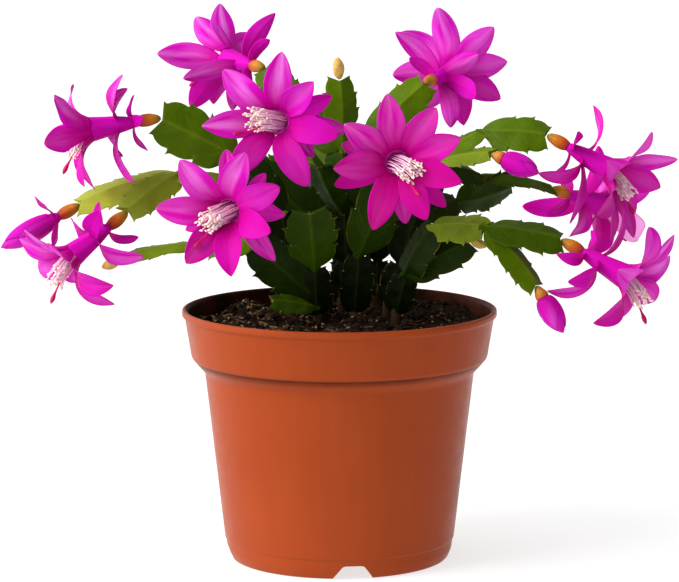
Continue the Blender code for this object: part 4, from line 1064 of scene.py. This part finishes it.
def make_buds(petal, ovary):
    for name, (tip, facing) in BUDS.items():
        pose = Pose(tip, facing)
        make_cup(name + "_cup", name + "_cup", pose,
                 [(-0.8, 0.5), (0, 1.3), (1.5, 2), (3.4, 2.7), (4.5, 2.75)], 14, ovary, 5.5, 0.1)
        skin = Skin("along", "across", "tone", "deep")
        pairs = [(4.2, 2.3), (4.9, 2.7), (6.5, 3.6), (10, 4.3), (14, 4.1), (18, 2.6), (20.2, 0.9)]
        add_bud(skin, pose, pairs, 21, 0.2, 0.2, (0, 0.5), (
            (10, 5, 19.5, 70), (130, 5, 20, 70), (250, 5, 18.5, 70), (70, 4.9, 12, 50), (200, 4.9, 11, 50)))
        skin.piece(name + "_petals", name + "_petals", "petal", petal)
    for name, (tip, facing, size) in YOUNG_BUDS.items():
        pose = Pose(tip, facing)
        make_cup(name + "_scales", name, pose,
                 [(-0.8, 0.6), (0, 1.4), (1.6, 2.1), (4.2, 2.4), (6.4, 1.9), (7.9, 0.9)], 22,
                 ovary, None, 0.85, folds(0.05, 3, 1), size, pose.at(8.5 * size))


# --- stage ---
def make_camera():
    camera = bpy.data.cameras.new("camera")
    camera.lens, camera.sensor_width = 169, 36
    eye = add_object("camera", camera)
    eye.location = (0, -1.3, 0.304)
    eye.rotation_euler = (math.radians(90) - 0.1475, 0, 0)
    bpy.context.scene.camera = eye


def make_floor():
    reach, drop = 15, -0.0002
    mesh = bpy.data.meshes.new("floor")
    corners = [(x * reach, y * reach, drop) for x, y in ((-1, -1), (1, -1), (1, 1), (-1, 1))]
    mesh.from_pydata(corners, [], [(0, 1, 2, 3)])
    paper = Shade("floor_paper", Roughness=0.9, Specular_IOR_Level=0, Emission_Strength=0.72,
                  Emission_Color=(1, 1, 1))
    mesh.materials.append(paper.set(Base_Color=(0.36, 0.36, 0.36)))
    add_object("floor", mesh)


def make_light():
    """A soft studio, bright on the left and falling off to the right, and a broad key light."""
    bpy.context.scene.world = bpy.data.worlds.new("studio")
    studio = Graph(bpy.context.scene.world)
    sky = studio.node("SeparateXYZ", {0: studio.node("TexCoord", out="Generated")}, out="X")
    across = studio.node("Math", {0: sky, 1: 0.5, 2: 0.5}, operation="MULTIPLY_ADD")
    ramp = studio.node("FloatCurve", {"Value": across})
    mapping = ramp.node.mapping
    line = mapping.curves[0].points
    line[0].location, line[1].location = (0, 1), (1, 0.1)
    for place in ((0.18, 0.56), (0.36, 0.3), (0.6, 0.16)):
        line.new(*place)
    mapping.update()
    studio.feed(studio.tree.nodes["Background"].inputs["Color"], studio.times(ramp, 2.9))

    light = bpy.data.lights.new("key", "SUN")
    light.energy, light.angle, light.color = 2.4, math.radians(34), (1, 0.995, 0.98)
    aim = unit(vec(0.88, 0.46, -0.78))
    turn = math.atan2(aim[1], aim[0]) - math.pi / 2
    add_object("key", light).rotation_euler = (math.acos(-aim[2]), 0, turn)


bpy.context.scene.view_settings.view_transform = "Standard"
make_camera()
make_floor()
make_light()
make_pot()
make_soil()
make_stems()
petal_silk, ovary_skin = petal_material(), ovary_material()
make_blooms(petal_silk, ovary_skin)
make_closed(petal_silk, ovary_skin)
make_buds(petal_silk, ovary_skin)
